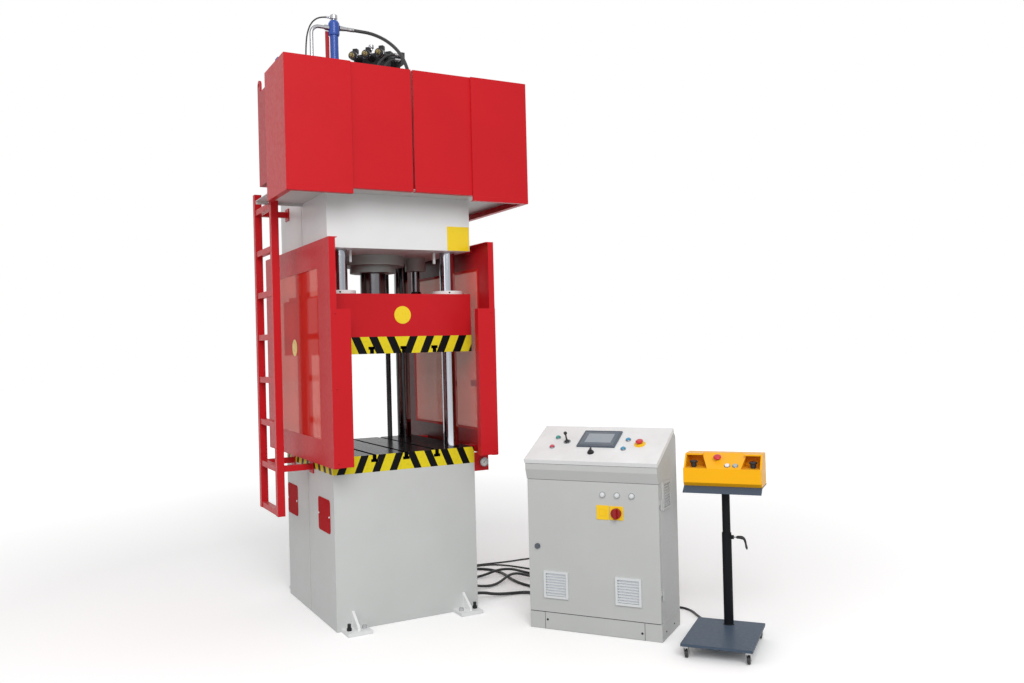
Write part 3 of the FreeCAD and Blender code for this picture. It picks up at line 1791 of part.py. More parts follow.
def cabinet_door():
    """A shallow pan hinged at its right edge, with vents, lamps, main switch and lock."""
    left, low = "door_gap", "plinth_high + door_gap"
    wide, high = "cabinet_width - 2 * door_gap", "door_top - plinth_high - door_gap"
    pan = box("door_pan", (left, 0, low), (wide, "door_thick", high))
    pan_inside = box(
        "door_inside",
        (f"{left} + 3", "3", f"{low} + 3"),
        (f"{wide} - 6", "door_thick", f"{high} - 6"),
    )
    vent_mouths = [
        box(
            f"vent_mouth_{side}",
            (f"vent_{side}_x + 12", "-5", "vent_low + 12"),
            ("vent_wide - 24", "20", "vent_high - 24"),
        )
        for side in ("left", "right")
    ]
    switch_hole = cylinder("switch_hole", ("switch_x", "-5", "switch_high"), "8 + button_gap", "20", Y)
    lock_hole = cylinder(
        "lock_hole",
        ("lock_x", "-5", "lock_high"),
        "lock_radius - 4 + button_gap",
        "20",
        Y,
    )
    plate = box(
        "switch_plate_sheet",
        ("switch_x - switch_plate / 2", "-switch_plate_thick", "switch_high - switch_plate / 2"),
        ("switch_plate", "switch_plate_thick", "switch_plate"),
    )
    shell = fuse("door_shell", cut("door_hollow", pan, pan_inside), plate)
    drilled = cut("door_drilled", shell, *vent_mouths, switch_hole, lock_hole)
    station("cabinet_door", "cabinet", fuse("cabinet_door", drilled, *hinges(True)))

    vents = [
        louvre(f"door_vent_{side}", (f"vent_{side}_x", "-vent_thick", "vent_low"))
        for side in ("left", "right")
    ]
    lamps = [
        turned(
            f"door_lamp_{i + 1}",
            [
                (0, 0),
                ("lamp_radius + 3", 0),
                ("lamp_radius + 3", 4),
                ("lamp_radius", 5),
                ("lamp_radius", "lamp_out - 3"),
                ("lamp_radius - 4", "lamp_out"),
                (0, "lamp_out"),
            ],
            (f"lamp_first_x + {i} * lamp_pitch", 0, "lamp_high"),
            -Y,
        )
        for i in range(3)
    ]
    station("door_fittings", "cabinet", group("door_fittings", *vents, *lamps))

    knob = cylinder(
        "switch_knob",
        ("switch_x", "-switch_plate_thick - button_gap", "switch_high"),
        "switch_radius",
        "switch_deep / 2",
        -Y,
    )
    grip = box(
        "switch_grip",
        (
            "switch_x - 7",
            "-switch_plate_thick - button_gap - switch_deep",
            "switch_high - switch_radius",
        ),
        ("14", "switch_deep", "2 * switch_radius"),
    )
    shaft = cylinder(
        "switch_shaft",
        ("switch_x", "-switch_plate_thick - button_gap - 1", "switch_high"),
        "8",
        "door_thick",
        Y,
    )
    station("main_switch", "cabinet", fuse("main_switch", knob, grip, shaft))

    rosette = cylinder("lock_rosette", ("lock_x", "-button_gap", "lock_high"), "lock_radius", "8", -Y)
    behind = "door_thick + door_gap + cabinet_shell + 1.5"
    barrel = cylinder(
        "lock_barrel",
        ("lock_x", "-button_gap - 1", "lock_high"),
        "lock_radius - 4",
        f"{behind} + button_gap + 5",
        Y,
    )
    tongue = box(
        "lock_tongue",
        ("lock_x - 7", behind, "lock_high - 10"),
        ("14", "4", "lock_reach + 10"),
    )
    station("door_lock", "cabinet", fuse("door_lock", rosette, barrel, tongue))


def on_lid(name, thing):
    """Carries a piece drawn on a flat lid up to the sloped lid of the cabinet."""
    over = f"placement(vector(0; -brow_out; brow_top); rotation(vector(1; 0; 0); {LID_SLOPE}))"
    base = "placement(vector(cabinet_x; cabinet_y; 0); rotation(vector(0; 0; 1); cabinet_turn))"
    thing.setExpression("Placement", linked(f"{base} * {over}"))
    return piece(name, thing)


LID_SPOTS = {
    name: (f"{name}_x", f"{name}_up")
    for name in (
        "green_button",
        "red_button",
        "blue_button_one",
        "blue_button_two",
        "joystick",
        "key_switch",
        "desk_stop_button",
    )
}


def desk_lid():
    """A folded lid over the sloped mouth. Its own x runs along the desk and y up the slope."""
    blank = box(
        "lid_blank",
        ("-lid_over", "-lid_over", "lid_gap"),
        ("cabinet_width + 2 * lid_over", "lid_long + lid_over", "lid_thick"),
    )
    inside = box(
        "lid_inside",
        ("lid_frame", "lid_frame", "lid_gap - 1"),
        ("cabinet_width - 2 * lid_frame", "lid_long - 2 * lid_frame", "lid_thick - 2"),
    )
    holes = []
    for name, (x, y) in LID_SPOTS.items():
        radius = "stick_ball + button_gap" if name == "joystick" else "button_radius - 2 + button_gap"
        holes.append(cylinder(f"{name}_hole", (x, y, 0), radius, "40"))
    screen_hole = box(
        "screen_hole",
        ("screen_x + 10", "screen_up + 10", 0),
        ("screen_wide - 20", "screen_high - 20", "40"),
    )
    on_lid("desk_lid", cut("desk_lid", blank, inside, *holes, screen_hole))

    top = "lid_gap + lid_thick"
    bezel = box(
        "screen_bezel",
        ("screen_x", "screen_up", top),
        ("screen_wide", "screen_high", "screen_thick"),
    )
    back = box(
        "screen_back",
        ("screen_x + 11", "screen_up + 11", f"{top} - 40"),
        ("screen_wide - 22", "screen_high - 22", "41"),
    )
    on_lid("touchscreen", fuse("touchscreen", bezel, back))

    shank = "button_radius - 2"
    for name in ("green_button", "red_button", "blue_button_one", "blue_button_two"):
        x, y = LID_SPOTS[name]
        button = turned(
            name,
            [
                (0, "-button_sunk"),
                (shank, "-button_sunk"),
                (shank, "button_travel + button_gap"),
                ("button_radius", "button_travel + button_gap"),
                ("button_radius", "button_travel + button_out - 1"),
                ("button_radius - 1", "button_travel + button_out"),
                (0, "button_travel + button_out"),
            ],
            (x, y, top),
        )
        on_lid(name, group(name + "_on_lid", button))

    x, y = LID_SPOTS["desk_stop_button"]
    on_lid("desk_stop_button", group("desk_stop_on_lid", stop_button("desk_stop", (x, y, top))))
    x, y = LID_SPOTS["joystick"]
    stick = turned(
        "joystick",
        [
            (0, "-20"),
            ("stick_radius", "-20"),
            ("stick_radius", "4"),
            ("stick_radius + 5", "6"),
            ("stick_radius", "22"),
            ("stick_radius", "stick_long - 2 * stick_knob"),
            ("stick_knob", "stick_long - stick_knob * 1.4"),
            ("stick_knob", "stick_long - stick_knob * 0.5"),
            ("stick_knob * 0.5", "stick_long"),
            (0, "stick_long"),
        ],
        (x, y, top),
    )
    ball = put(
        tie(doc.addObject("Part::Sphere", "stick_ball"), Radius="stick_ball"),
        (x, y, f"{top} - 1"),
    )
    on_lid("joystick", fuse("joystick_on_lid", stick, ball))
    x, y = LID_SPOTS["key_switch"]
    knob = cylinder("key_knob", (x, y, f"{top} + button_gap"), "key_radius", "10")
    wing = box(
        "key_wing",
        (f"{x} - 3", f"{y} - key_radius", f"{top} + 10"),
        ("6", "2 * key_radius", "14"),
    )
    stem = cylinder("key_stem", (x, y, f"{top} - button_sunk"), shank, "button_sunk + 5")
    on_lid("key_switch", fuse("key_switch", knob, wing, stem))


def stop_button(name, at):
    """A mushroom head on a stem, standing off its panel by its travel."""
    return turned(
        name,
        [
            (0, "-button_sunk"),
            ("button_radius - 2", "-button_sunk"),
            ("button_radius - 2", "button_travel + 8"),
            ("stop_radius - 3", "button_travel + 9"),
            ("stop_radius", "button_travel + 13"),
            ("stop_radius", "stop_out - 4"),
            ("stop_radius - 6", "stop_out"),
            (0, "stop_out"),
        ],
        at,
    )


# --------------------------------------------------------- two-hand stand


def stand():
    """Plate on casters, clamped telescopic post, sloped tray and the two-hand console."""
    plate = box(
        "stand_plate",
        ("-stand_plate_wide / 2", "stand_plate_back - stand_plate_long", "stand_plate_low"),
        ("stand_plate_wide", "stand_plate_long", "stand_plate_thick"),
    )
    tube_high = "post_top - stand_plate_low"
    outer = cylinder("post_tube", (0, 0, "stand_plate_low"), "post_radius", tube_high)
    weld = cone(
        "post_weld",
        (0, 0, "stand_plate_low + stand_plate_thick"),
        "post_radius + 6",
        "post_radius",
        "6",
    )
    boss = cylinder("lever_boss", ("post_bore_radius + 1", 0, "lever_high"), "10", "14", X)
    bore = cylinder(
        "post_bore",
        (0, 0, "stand_plate_low + stand_plate_thick"),
        "post_bore_radius",
        "post_top",
    )
    lever_bore = cylinder(
        "lever_bore",
        ("post_bore_radius - 2", 0, "lever_high"),
        "lever_radius + button_gap",
        "20",
        X,
    )
    gland = cylinder(
        "stand_gland",
        ("-60", 0, "stand_plate_low - stand_cable_radius - gland_wall"),
        "stand_cable_radius + gland_wall",
        "25",
        Y,
    )
    station(
        "stand_base",
        "stand",
        cut("stand_base", fuse("stand_blank", plate, outer, weld, boss, gland), bore, lever_bore),
    )

    screw = cylinder(
        "lever_screw",
        ("post_bore_radius + 0.5", 0, "lever_high"),
        "lever_radius",
        "24",
        X,
    )
    hub = cylinder("lever_hub", ("post_bore_radius + 15 + nut_gap", 0, "lever_high"), "9", "22", X)
    start = "post_bore_radius + 30"
    arm = prism(
        "lever_arm",
        "XZ_Plane",
        [
            (start, "lever_high + 8"),
            ("lever_out + 24", "lever_high + 6"),
            ("lever_out + 30", "lever_high - 2"),
            ("lever_out + 38", "lever_high - lever_drop"),
            ("lever_out + 29", "lever_high - lever_drop"),
            ("lever_out + 20", "lever_high - 8"),
            (start, "lever_high - 8"),
        ],
        "10",
        at=(0, 5, 0),
    )
    station("clamp_lever", "stand", fuse("clamp_lever", screw, hub, arm))

    inner = cylinder("inner_tube", (0, 0, "inner_low"), "inner_radius", "tray_high - 10 - inner_low")
    tray = prism(
        "tray_sheet",
        "YZ_Plane",
        [
            ("console_back + 6", "tray_high"),
            ("-console_front + 20", "tray_high"),
            ("-console_front - 20", "tray_high - tray_front_drop"),
            ("-console_front - 20", "tray_high - tray_front_drop - tray_thick"),
            ("-console_front + 20", "tray_high - tray_thick"),
            ("console_back + 6", "tray_high - tray_thick"),
        ],
        "tray_wide",
        at=("-tray_wide / 2", 0, 0),
    )
    collar = cone(
        "tray_collar",
        (0, 0, "tray_high - tray_thick - 12"),
        "inner_radius + 2",
        "inner_radius + 12",
        "12",
    )
    station("stand_post", "stand", fuse("stand_post", inner, tray, collar))
    console()
    casters()


SLOPE = "atan((console_top - console_ledge) / (console_front + slope_back))"
SLOPE_SEAT = f"placement(vector(0; -console_front; console_ledge); rotation(vector(1; 0; 0); {SLOPE}))"


def console():
    """Yellow housing: a sloped middle between two hooded pockets for the palm buttons."""
    half = "console_wide / 2"
    skirt = [
        ("-console_front + console_foot", "tray_high"),
        ("-console_front", "tray_high + console_foot"),
        ("-console_front", "console_ledge"),
        ("console_back", "console_ledge"),
        ("console_back", "tray_high"),
    ]
    lower = prism("console_lower", "YZ_Plane", skirt, "console_wide", at=(f"-({half})", 0, 0))
    slope = [
        ("-console_front", "console_ledge"),
        ("slope_back", "console_top"),
        ("console_back", "console_top"),
        ("console_back", "console_ledge"),
    ]
    middle = prism(
        "console_middle",
        "YZ_Plane",
        slope,
        "console_wide - 2 * console_wall",
        at=(f"-({half}) + console_wall", 0, 0),
    )
    wedges = [
        prism(
            f"pocket_{side}",
            "XZ_Plane",
            [
                (f"{sx} * ({half} - console_wall)", "console_ledge"),
                (f"{sx} * ({half} - console_wall - pocket_wide + pocket_slant / 2)", "console_ledge"),
                (f"{sx} * ({half} - console_wall - pocket_wide - pocket_slant / 4)", "console_top + 10"),
                (f"{sx} * ({half} - console_wall)", "console_top + 10"),
            ],
            "console_front + console_back - console_wall",
            at=(0, "console_back - console_wall", 0),
        )
        for side, sx in (("left", -1), ("right", 1))
    ]
    ridge = cut("console_ridge", middle, *wedges)
    hoods = []
    for side, sx in (("left", -1), ("right", 1)):
        low = f"-({half})" if sx < 0 else f"{half} - pocket_wide - console_wall - pocket_slant / 4"
        roof = box(
            f"hood_roof_{side}",
            (low, "-hood_front", "console_top - console_wall"),
            (
                "pocket_wide + console_wall + pocket_slant / 4",
                "hood_front + console_back",
                "console_wall",
            ),
        )
        wall = prism(
            f"hood_wall_{side}",
            "YZ_Plane",
            [
                ("-console_front + 12", "console_ledge"),
                ("-hood_front", "console_top"),
                ("console_back", "console_top"),
                ("console_back", "console_ledge"),
            ],
            "console_wall",
            at=(f"-({half})" if sx < 0 else f"{half} - console_wall", 0, 0),
        )
        back = box(
            f"hood_back_{side}",
            (low, "console_back - console_wall", "console_ledge"),
            (
                "pocket_wide + console_wall + pocket_slant / 4",
                "console_wall",
                "console_top - console_ledge",
            ),
        )
        hoods += [roof, wall, back]
    holes = [
        cylinder(
            f"palm_hole_{side}",
            (f"{sx} * palm_out", "-palm_y", "console_ledge - 30"),
            "palm_neck - 4 + button_gap",
            "31",
        )
        for side, sx in (("left", -1), ("right", 1))
    ]
    shell = fuse("console_solid", lower, ridge, *hoods)
    shell = cut("console_drilled", shell, *holes)
    small = [
        turned(f"console_small_button_{i}", [(0, -2), (11, -2), (11, 5), (9, 7), (0, 7)], (x, 24, 0))
        for i, x in ((1, 24), (2, 62))
    ]
    on_slope = group("console_small_buttons", *small)
    on_slope.setExpression("Placement", linked(SLOPE_SEAT))
    hole = cylinder(
        "console_stop_hole",
        (-27, 67, "-button_sunk - 10"),
        "button_radius - 2 + button_gap",
        "60",
    )
    drilled = group("console_slope_holes", hole)
    drilled.setExpression("Placement", linked(SLOPE_SEAT))
    station(
        "console_shell",
        "stand",
        cut("console_shell", fuse("console_with_buttons", shell, on_slope), drilled),
    )
    for side, sx in (("left", -1), ("right", 1)):
        palm = turned(
            f"palm_{side}",
            [
                (0, "-20"),
                ("palm_neck - 4", "-20"),
                ("palm_neck - 4", "button_travel + button_gap"),
                ("palm_neck", "button_travel + button_gap"),
                ("palm_neck", "palm_high - 12"),
                ("palm_radius", "palm_high - 9"),
                ("palm_radius", "palm_high - 3"),
                ("palm_radius - 4", "palm_high"),
                (0, "palm_high"),
            ],
            (f"{sx} * palm_out", "-palm_y", "console_ledge"),
        )
        station(f"palm_button_{side}", "stand", group(f"palm_button_{side}", palm))
    stop = group("console_stop_on_slope", stop_button("console_stop", (-27, 67, "button_gap")))
    stop.setExpression("Placement", linked(SLOPE_SEAT))
    station("console_stop_button", "stand", group("console_stop_button", stop))


def casters():
    """Four swivel casters under the plate corners, each a fork on a stem with one wheel."""
    mid_y = "stand_plate_back - stand_plate_long / 2"
    for i, (sx, sy) in enumerate(CORNERS, 1):
        pivot_x = f"{sx} * (stand_plate_wide / 2 - caster_side)"
        pivot_y = f"{mid_y} + {sy} * (stand_plate_long / 2 - caster_side)"
        axle_y = f"{pivot_y} + caster_trail"
        half = "(wheel_wide / 2 + fork_gap)"
        top = "(stand_plate_low - nut_gap)"
        cap = cylinder(f"fork_cap_{i}", (pivot_x, pivot_y, f"{top} - 6"), "fork_plate_radius", "6")
        cheeks = [
            prism(
                f"fork_cheek_{i}_{side}",
                "YZ_Plane",
                [
                    ("-12", f"{top} - 6"),
                    ("12", f"{top} - 6"),
                    ("caster_trail + 6", "wheel_radius - 5"),
                    ("caster_trail - 6", "wheel_radius - 5"),
                ],
                "fork_thick",
                at=(
                    f"{pivot_x} - {half} - fork_thick" if side == "left" else f"{pivot_x} + {half}",
                    pivot_y,
                    0,
                ),
            )
            for side in ("left", "right")
        ]
        bridge = box(
            f"fork_bridge_{i}",
            (f"{pivot_x} - {half} - fork_thick", f"{pivot_y} - 12", f"{top} - 9"),
            (f"2 * ({half} + fork_thick)", "24", "4"),
        )
        axle = cylinder(
            f"axle_{i}",
            (f"{pivot_x} - {half} - fork_thick", axle_y, "wheel_radius"),
            "axle_radius",
            f"2 * ({half} + fork_thick)",
            X,
        )
        station(f"caster_fork_{i}", "stand", fuse(f"caster_fork_{i}", cap, *cheeks, bridge, axle))
        wheel = turned(
            f"wheel_{i}",
            [
                ("axle_radius + running_gap", "-wheel_wide / 2"),
                ("wheel_radius - 6", "-wheel_wide / 2"),
                ("wheel_radius", "-wheel_wide / 2 + 3"),
                ("wheel_radius", "wheel_wide / 2 - 3"),
                ("wheel_radius - 6", "wheel_wide / 2"),
                ("axle_radius + running_gap", "wheel_wide / 2"),
            ],
            (pivot_x, axle_y, "wheel_radius"),
            X,
        )
        station(f"caster_wheel_{i}", "stand", group(f"caster_wheel_{i}", wheel))


def pressure_gauge():
    plate = box(
        "gauge_plate",
        ("base_width / 2", "-base_depth / 2", "gauge_plate_low"),
        ("gauge_plate_wide", "gauge_plate_thick", "gauge_plate_high"),
    )
    case = turned(
        "gauge_case",
        [
            (0, 0),
            ("gauge_radius - 2", 0),
            ("gauge_radius - 2", "gauge_deep - 8"),
            ("gauge_radius", "gauge_deep - 8"),
            ("gauge_radius", "gauge_deep"),
            ("gauge_radius - 3", "gauge_deep"),
            ("gauge_radius - 3", "gauge_deep - 3"),
            (0, "gauge_deep - 3"),
        ],
        ("base_width / 2 + gauge_out", "-base_depth / 2", "gauge_high"),
        -Y,
    )
    piece("pressure_gauge", group("pressure_gauge", plate, case))


def hoses():
    """Hoses on top of the press, and the straight conduit down its back."""
    # The points were laid on a crown whose top is 2350 up, round a tank whose front is
    # 285 ahead of the middle, and move with both.
    moved = V(0, 285 - size("tank_front"), size(CROWN_TOP) - 2350)
    piece("pressure_hose", cord("pressure_hose", [
        (-205, -250, 3211), (-142, -250, 3211), (-80, -294, 3193), (-28, -370, 3142), (3, -460, 3066),
        (10, -540, 2982), (13, -590, 2895), (28, -597, 2812), (68, -590, 2740), (118, -576, 2680),
        (160, -560, 2628), (180, -550, 2563), (180, -550, 2499),
    ], size("hose_radius"), moved))
    pilot = cord("pilot_hose", [
        (
            -299,
            -250,
            3262,
        ), (-350, -250, 3262), (-402, -250, 3226), (-428, -250, 3162), (-436, -250, 3090),
        (-438, -250, 3012), (-434, -250, 2932), (-434, -250, 2850),
    ], size("pilot_radius"), moved)
    upper = cord("return_hose_upper", [
        (105, -245, 3112), (62, -245, 3112), (18, -247, 3096), (-18, -252, 3062), (-44, -258, 3018),
        (-62, -262, 2965), (-71, -264, 2908), (-78, -263, 2850), (-90, -260, 2800), (-116, -254, 2762),
        (-154, -250, 2743), (-195, -250, 2743),
    ], size("return_radius"), moved)
    lower = cord("return_hose_lower", [
        (105, -245, 3084), (66, -245, 3084), (30, -248, 3067), (4, -254, 3034), (-14, -259, 2990),
        (-28, -263, 2938), (-40, -265, 2880), (-50, -264, 2820), (-66, -260, 2765), (-96, -254, 2718),
        (-142, -250, 2693), (-195, -250, 2693),
    ], size("return_radius"), moved)
    conduit = cylinder(
        "rear_conduit",
        (262, "base_depth / 2 + conduit_radius + nut_gap", "table_height - plate_thick - 60"),
        "conduit_radius",
        1280,
    )
    piece("machine_hoses", group("machine_hoses", pilot, upper, lower, conduit))


def cables():
    """The loose bundle on the floor between the base and the back of the cabinet, and the stand's cable."""
    thick, medium, thin = (
        size(name)
        for name in ("thick_cable_radius", "cable_radius", "thin_cable_radius")
    )
    # The points were laid from a base 812 wide and 906 deep, and move with its rear right corner.
    moved = V(size("base_width") / 2 - 406, size("base_depth") / 2 - 453, 0)
    first = cord("cable_1", [
        (
            426,
            -330,
            45,
        ), (486, -330, 45), (580, -334, 20), (684, -332, 9), (765, -352, 9), (818, -418, 9),
        (848, -510, 12), (866, -605, 28), (876.1, -706.4, 45), (790.6, -767.4, 45),
    ], thick, moved)
    second = cord("cable_2", [
        (
            426,
            -130,
            45,
        ), (490, -130, 45), (584, -129, 20), (672, -121, 9), (744, -98, 20), (806, -66, 40),
        (880, -40, 40), (946, -58, 20), (993, -112, 8), (
            1017,
            -190,
            8,
        ), (1024, -285, 8), (1018, -385, 8),
        (1004, -490, 8),
        (985, -595, 8), (962, -700, 24), (927.8, -804.7, 45), (854.5, -857, 45),
    ], medium, moved)
    third = cord("cable_3", [
        (426, 120, 45), (490, 120, 45), (584, 116, 20), (676, 113, 8), (752, 107, 20), (824, 96, 40),
        (904, 70, 40), (970, 26, 20), (1022, -34, 8), (1057, -120, 8), (1074, -230, 8), (1072, -342, 8),
        (1058, -452, 8),
        (1041, -560, 8), (1022, -665, 12), (1003, -762, 28), (956.9, -845.4, 45), (883.6, -897.7, 45),
    ], medium, moved)
    fourth = cord("cable_4", [
        (426, 330, 45), (496, 330, 45), (620, 338, 16), (745, 330, 8), (830, 268, 8), (868, 170, 8),
        (862, 60, 8), (842, -45, 8), (838, -150, 8), (858, -250, 8), (888, -350, 8), (907, -460, 8),
        (914, -570, 8), (916, -668, 24), (898.8, -764, 45), (825.5, -816.3, 45),
    ], medium, moved)
    fifth = cord("cable_5", [
        (426, 370, 45), (486, 370, 45), (576, 375, 24), (690, 384, 5), (815, 388, 5), (915, 368, 5),
        (985, 300, 5), (1032, 212, 5), (1074, 118, 5), (1107, 15, 5), (1127, -92, 5), (1136, -200, 5),
        (1133, -310, 5), (1123, -425, 5), (1108, -540, 5), (1090, -655, 8), (1068, -765, 16),
        (1046, -862, 32), (1007.6, -932, 45), (941.6, -979.1, 45),
    ], thin, moved)
    sixth = cord("cable_6", [
        (426, 402, 45), (486, 402, 45), (590, 407, 22), (712, 415, 5), (830, 413, 5), (940, 396, 5),
        (1050, 376, 5), (1150, 378, 5), (1240, 368, 5), (1305, 300, 5), (1330, 190, 5), (1328, 60, 5),
        (1317, -60, 5), (
            1302,
            -180,
            5,
        ), (1284, -300, 5), (1268, -420, 5), (1248, -540, 5), (1225, -655, 5),
        (1198, -765, 5), (1165, -868, 14), (1122, -950, 32), (1065.7, -1013.4, 45), (999.7, -1060.5, 45),
    ], thin, moved)
    piece("floor_cables", group("floor_cables", first, second, third, fourth, fifth, sixth))
    piece("stand_cable", cord("stand_cable", [
        (
            1081.5,
            -1174.1,
            45,
        ), (1138.5, -1133.4, 45), (1203, -1078, 26), (1272, -1046, 8), (1335, -1088, 6),
        (1338, -1166, 6), (1310, -1240, 6), (1287, -1312, 6), (1261, -1373, 8), (1246, -1450, 24),
        (1225.6, -1515.7, 48), (1175.4, -1555.4, 48),
    ], size("stand_cable_radius"), moved))


base_frame()
hatch_covers()
foot_brackets()
frame_fasteners()
table_plate()
crown_frame()
columns()
cylinders()
slide()
guards()
ladder()
skirt()
hydraulics()
pressure_gauge()
cabinet_body()
cabinet_door()
desk_lid()
stand()
hoses()
cables()

doc.recompute()
broken = [thing.Name for thing in doc.Objects if {"Invalid", "Error"} & set(thing.State)]
bad = [
    node
    for node, thing in PIECES.items()
    if thing.Shape.isNull() or not thing.Shape.isValid() or not thing.Shape.Solids
]
if broken or bad:
    raise SystemExit(f"failed objects: {broken}; bad shapes: {bad}")
for node, thing in PIECES.items():
    thing.Shape.exportStep(f"parts/{node}.step")
print(len(PIECES), "parts written")
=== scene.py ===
import math

import bmesh
import bpy
import numpy as np
from mathutils import Matrix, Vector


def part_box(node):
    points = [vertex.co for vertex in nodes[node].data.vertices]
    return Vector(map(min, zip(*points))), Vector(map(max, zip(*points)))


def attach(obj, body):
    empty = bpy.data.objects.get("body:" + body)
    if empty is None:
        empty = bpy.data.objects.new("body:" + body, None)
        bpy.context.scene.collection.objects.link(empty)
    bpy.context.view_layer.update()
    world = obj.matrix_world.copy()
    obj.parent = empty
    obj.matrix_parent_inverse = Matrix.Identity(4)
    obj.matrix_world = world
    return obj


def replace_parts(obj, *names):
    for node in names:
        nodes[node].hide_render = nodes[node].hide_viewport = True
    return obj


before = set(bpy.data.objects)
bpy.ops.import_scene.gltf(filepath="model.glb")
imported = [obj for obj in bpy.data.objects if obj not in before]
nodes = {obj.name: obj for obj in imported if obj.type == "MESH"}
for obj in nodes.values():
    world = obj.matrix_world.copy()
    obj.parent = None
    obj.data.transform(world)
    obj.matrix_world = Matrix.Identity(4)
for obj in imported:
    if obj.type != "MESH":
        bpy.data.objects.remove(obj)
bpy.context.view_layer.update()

# --- Base frame ---
# The real base is a box welded from steel plate, ground flat along its seams,
# then sprayed light grey. The paint stays smooth with a slight orange peel.

MM = 0.001


def add(tree, kind, inputs=None, **settings):
    """A shader node and its settings. An input is an output to link, or a constant, colours without alpha."""
    made = tree.nodes.new("ShaderNode" + kind)
    for name, value in settings.items():
        setattr(made, name, value)
    for name, value in (inputs or {}).items():
        socket = made.inputs[name]
        if isinstance(value, bpy.types.NodeSocket):
            tree.links.new(value, socket)
        else:
            socket.default_value = (*value, 1.0) if socket.type == "RGBA" else value
    return made


def calc(tree, operation, first, second=0.0, clamp=False):
    """The output of one sum on two values."""
    return add(tree, "Math", {0: first, 1: second}, operation=operation, use_clamp=clamp).outputs[0]


def product(tree, first, *others):
    """The output of all the values multiplied together."""
    for other in others:
        first = calc(tree, "MULTIPLY", first, other)
    return first


def mixed(tree, factor, first, second):
    """The colour that goes from first to second as factor goes from 0 to 1."""
    return add(tree, "Mix", {0: factor, 6: first, 7: second}, data_type="RGBA", clamp_factor=True).outputs[2]


def ranged(tree, value, low, high, to_low=0.0, to_high=1.0):
    """value's range low..high spread over to_low..to_high, held at both ends."""
    spread = {"Value": value, "From Min": low, "From Max": high, "To Min": to_low, "To Max": to_high}
    return add(tree, "MapRange", spread).outputs[0]


def object_place(tree):
    """The output that gives a point's place on the object."""
    return add(tree, "TexCoord").outputs["Object"]


def split(tree, vector):
    """A vector's parts, by the names X, Y and Z."""
    return add(tree, "SeparateXYZ", {0: vector}).outputs


def vector_node(tree, operation, first, second):
    """The output of one sum on two vectors."""
    return add(tree, "VectorMath", {0: first, 1: second}, operation=operation).outputs[0]


def noise(tree, place, scale, detail):
    """The output of a noise from 0 to 1."""
    return add(tree, "TexNoise", {"Vector": place, "Scale": scale, "Detail": detail}).outputs["Fac"]


def effect_group(name, inputs, outputs):
    """An empty shader group with its sockets: inputs as (name, kind, value), outputs as (name, kind)."""
    group = bpy.data.node_groups.new(name, "ShaderNodeTree")
    for label, kind, value in inputs:
        made = group.interface.new_socket(label, in_out="INPUT", socket_type="NodeSocket" + kind)
        if value is not None:
            made.default_value = value
    for label, kind in outputs:
        group.interface.new_socket(label, in_out="OUTPUT", socket_type="NodeSocket" + kind)
    return group, group.nodes.new("NodeGroupInput").outputs, group.nodes.new("NodeGroupOutput").inputs


def make_rounded_edges():
    """Edges rounded over a small radius. The mask is how far the rounded normal leaves the flat one."""
    group, given, result = effect_group(
        "rounded edges", [("Radius", "Float", 0.0015)], [("Normal", "Vector"), ("Edge", "Float")]
    )
    rounded = add(group, "Bevel", {"Radius": given["Radius"]}, samples=4).outputs[0]
    flat = add(group, "NewGeometry").outputs["Normal"]
    along = add(group, "VectorMath", {0: rounded, 1: flat}, operation="DOT_PRODUCT").outputs["Value"]
    group.links.new(rounded, result["Normal"])
    group.links.new(ranged(group, along, 0.995, 0.86), result["Edge"])
    return group


def make_cloudy_tone():
    """Slow and fine noise in object space, as paint and metal vary over a hand's width."""
    group, given, result = effect_group(
        "cloudy tone", [("Scale", "Float", 4.0)], [("Slow", "Float"), ("Fine", "Float")]
    )
    place = object_place(group)
    group.links.new(noise(group, place, given["Scale"], 3.0), result["Slow"])
    group.links.new(noise(group, place, product(group, given["Scale"], 14.0), 6.0), result["Fine"])
    return group


def make_orange_peel():
    """The faint ripple that sprayed enamel dries with, as a bump on the given normal."""
    group, given, result = effect_group(
        "orange peel",
        [("Normal", "Vector", None), ("Scale", "Float", 350.0), ("Height", "Float", 0.00002)],
        [("Normal", "Vector")],
    )
    ripple = noise(group, object_place(group), given["Scale"], 1.0)
    bump = add(group, "Bump", {"Height": ripple, "Distance": given["Height"], "Normal": given["Normal"]})
    group.links.new(bump.outputs["Normal"], result["Normal"])
    return group


def make_settled_dust():
    """Dust on faces that look up, thicker in patches. Gives a mask from 0 to 1."""
    group, given, result = effect_group("settled dust", [("Amount", "Float", 0.2)], [("Mask", "Float")])
    upward = split(group, add(group, "NewGeometry").outputs["Normal"])["Z"]
    patches = noise(group, object_place(group), 9.0, 8.0)
    lying = product(group, ranged(group, upward, 0.55, 0.95), ranged(group, patches, 0.35, 0.7))
    group.links.new(calc(group, "MULTIPLY", lying, given["Amount"], clamp=True), result["Mask"])
    return group


ROUNDED_EDGES = make_rounded_edges()
CLOUDY_TONE = make_cloudy_tone()
ORANGE_PEEL = make_orange_peel()
SETTLED_DUST = make_settled_dust()


def use(tree, group, inputs=None):
    """One copy of a shared effect in a material."""
    return add(tree, "Group", inputs, node_tree=group).outputs


def material(name):
    """An empty node material, its tree and its surface socket."""
    made = bpy.data.materials.new(name)
    made.use_nodes = True
    made.node_tree.nodes.clear()
    return made, made.node_tree, add(made.node_tree, "OutputMaterial").inputs["Surface"]


def cover(tree, surface, inputs):
    """Puts the standard surface on a material."""
    tree.links.new(add(tree, "BsdfPrincipled", inputs).outputs[0], surface)


def shade(colour, factor):
    """A colour made lighter or darker."""
    return tuple(min(1.0, part * factor) for part in colour)


RUBBED_STEEL, DUST_COLOUR = (0.33, 0.32, 0.31), (0.42, 0.4, 0.37)


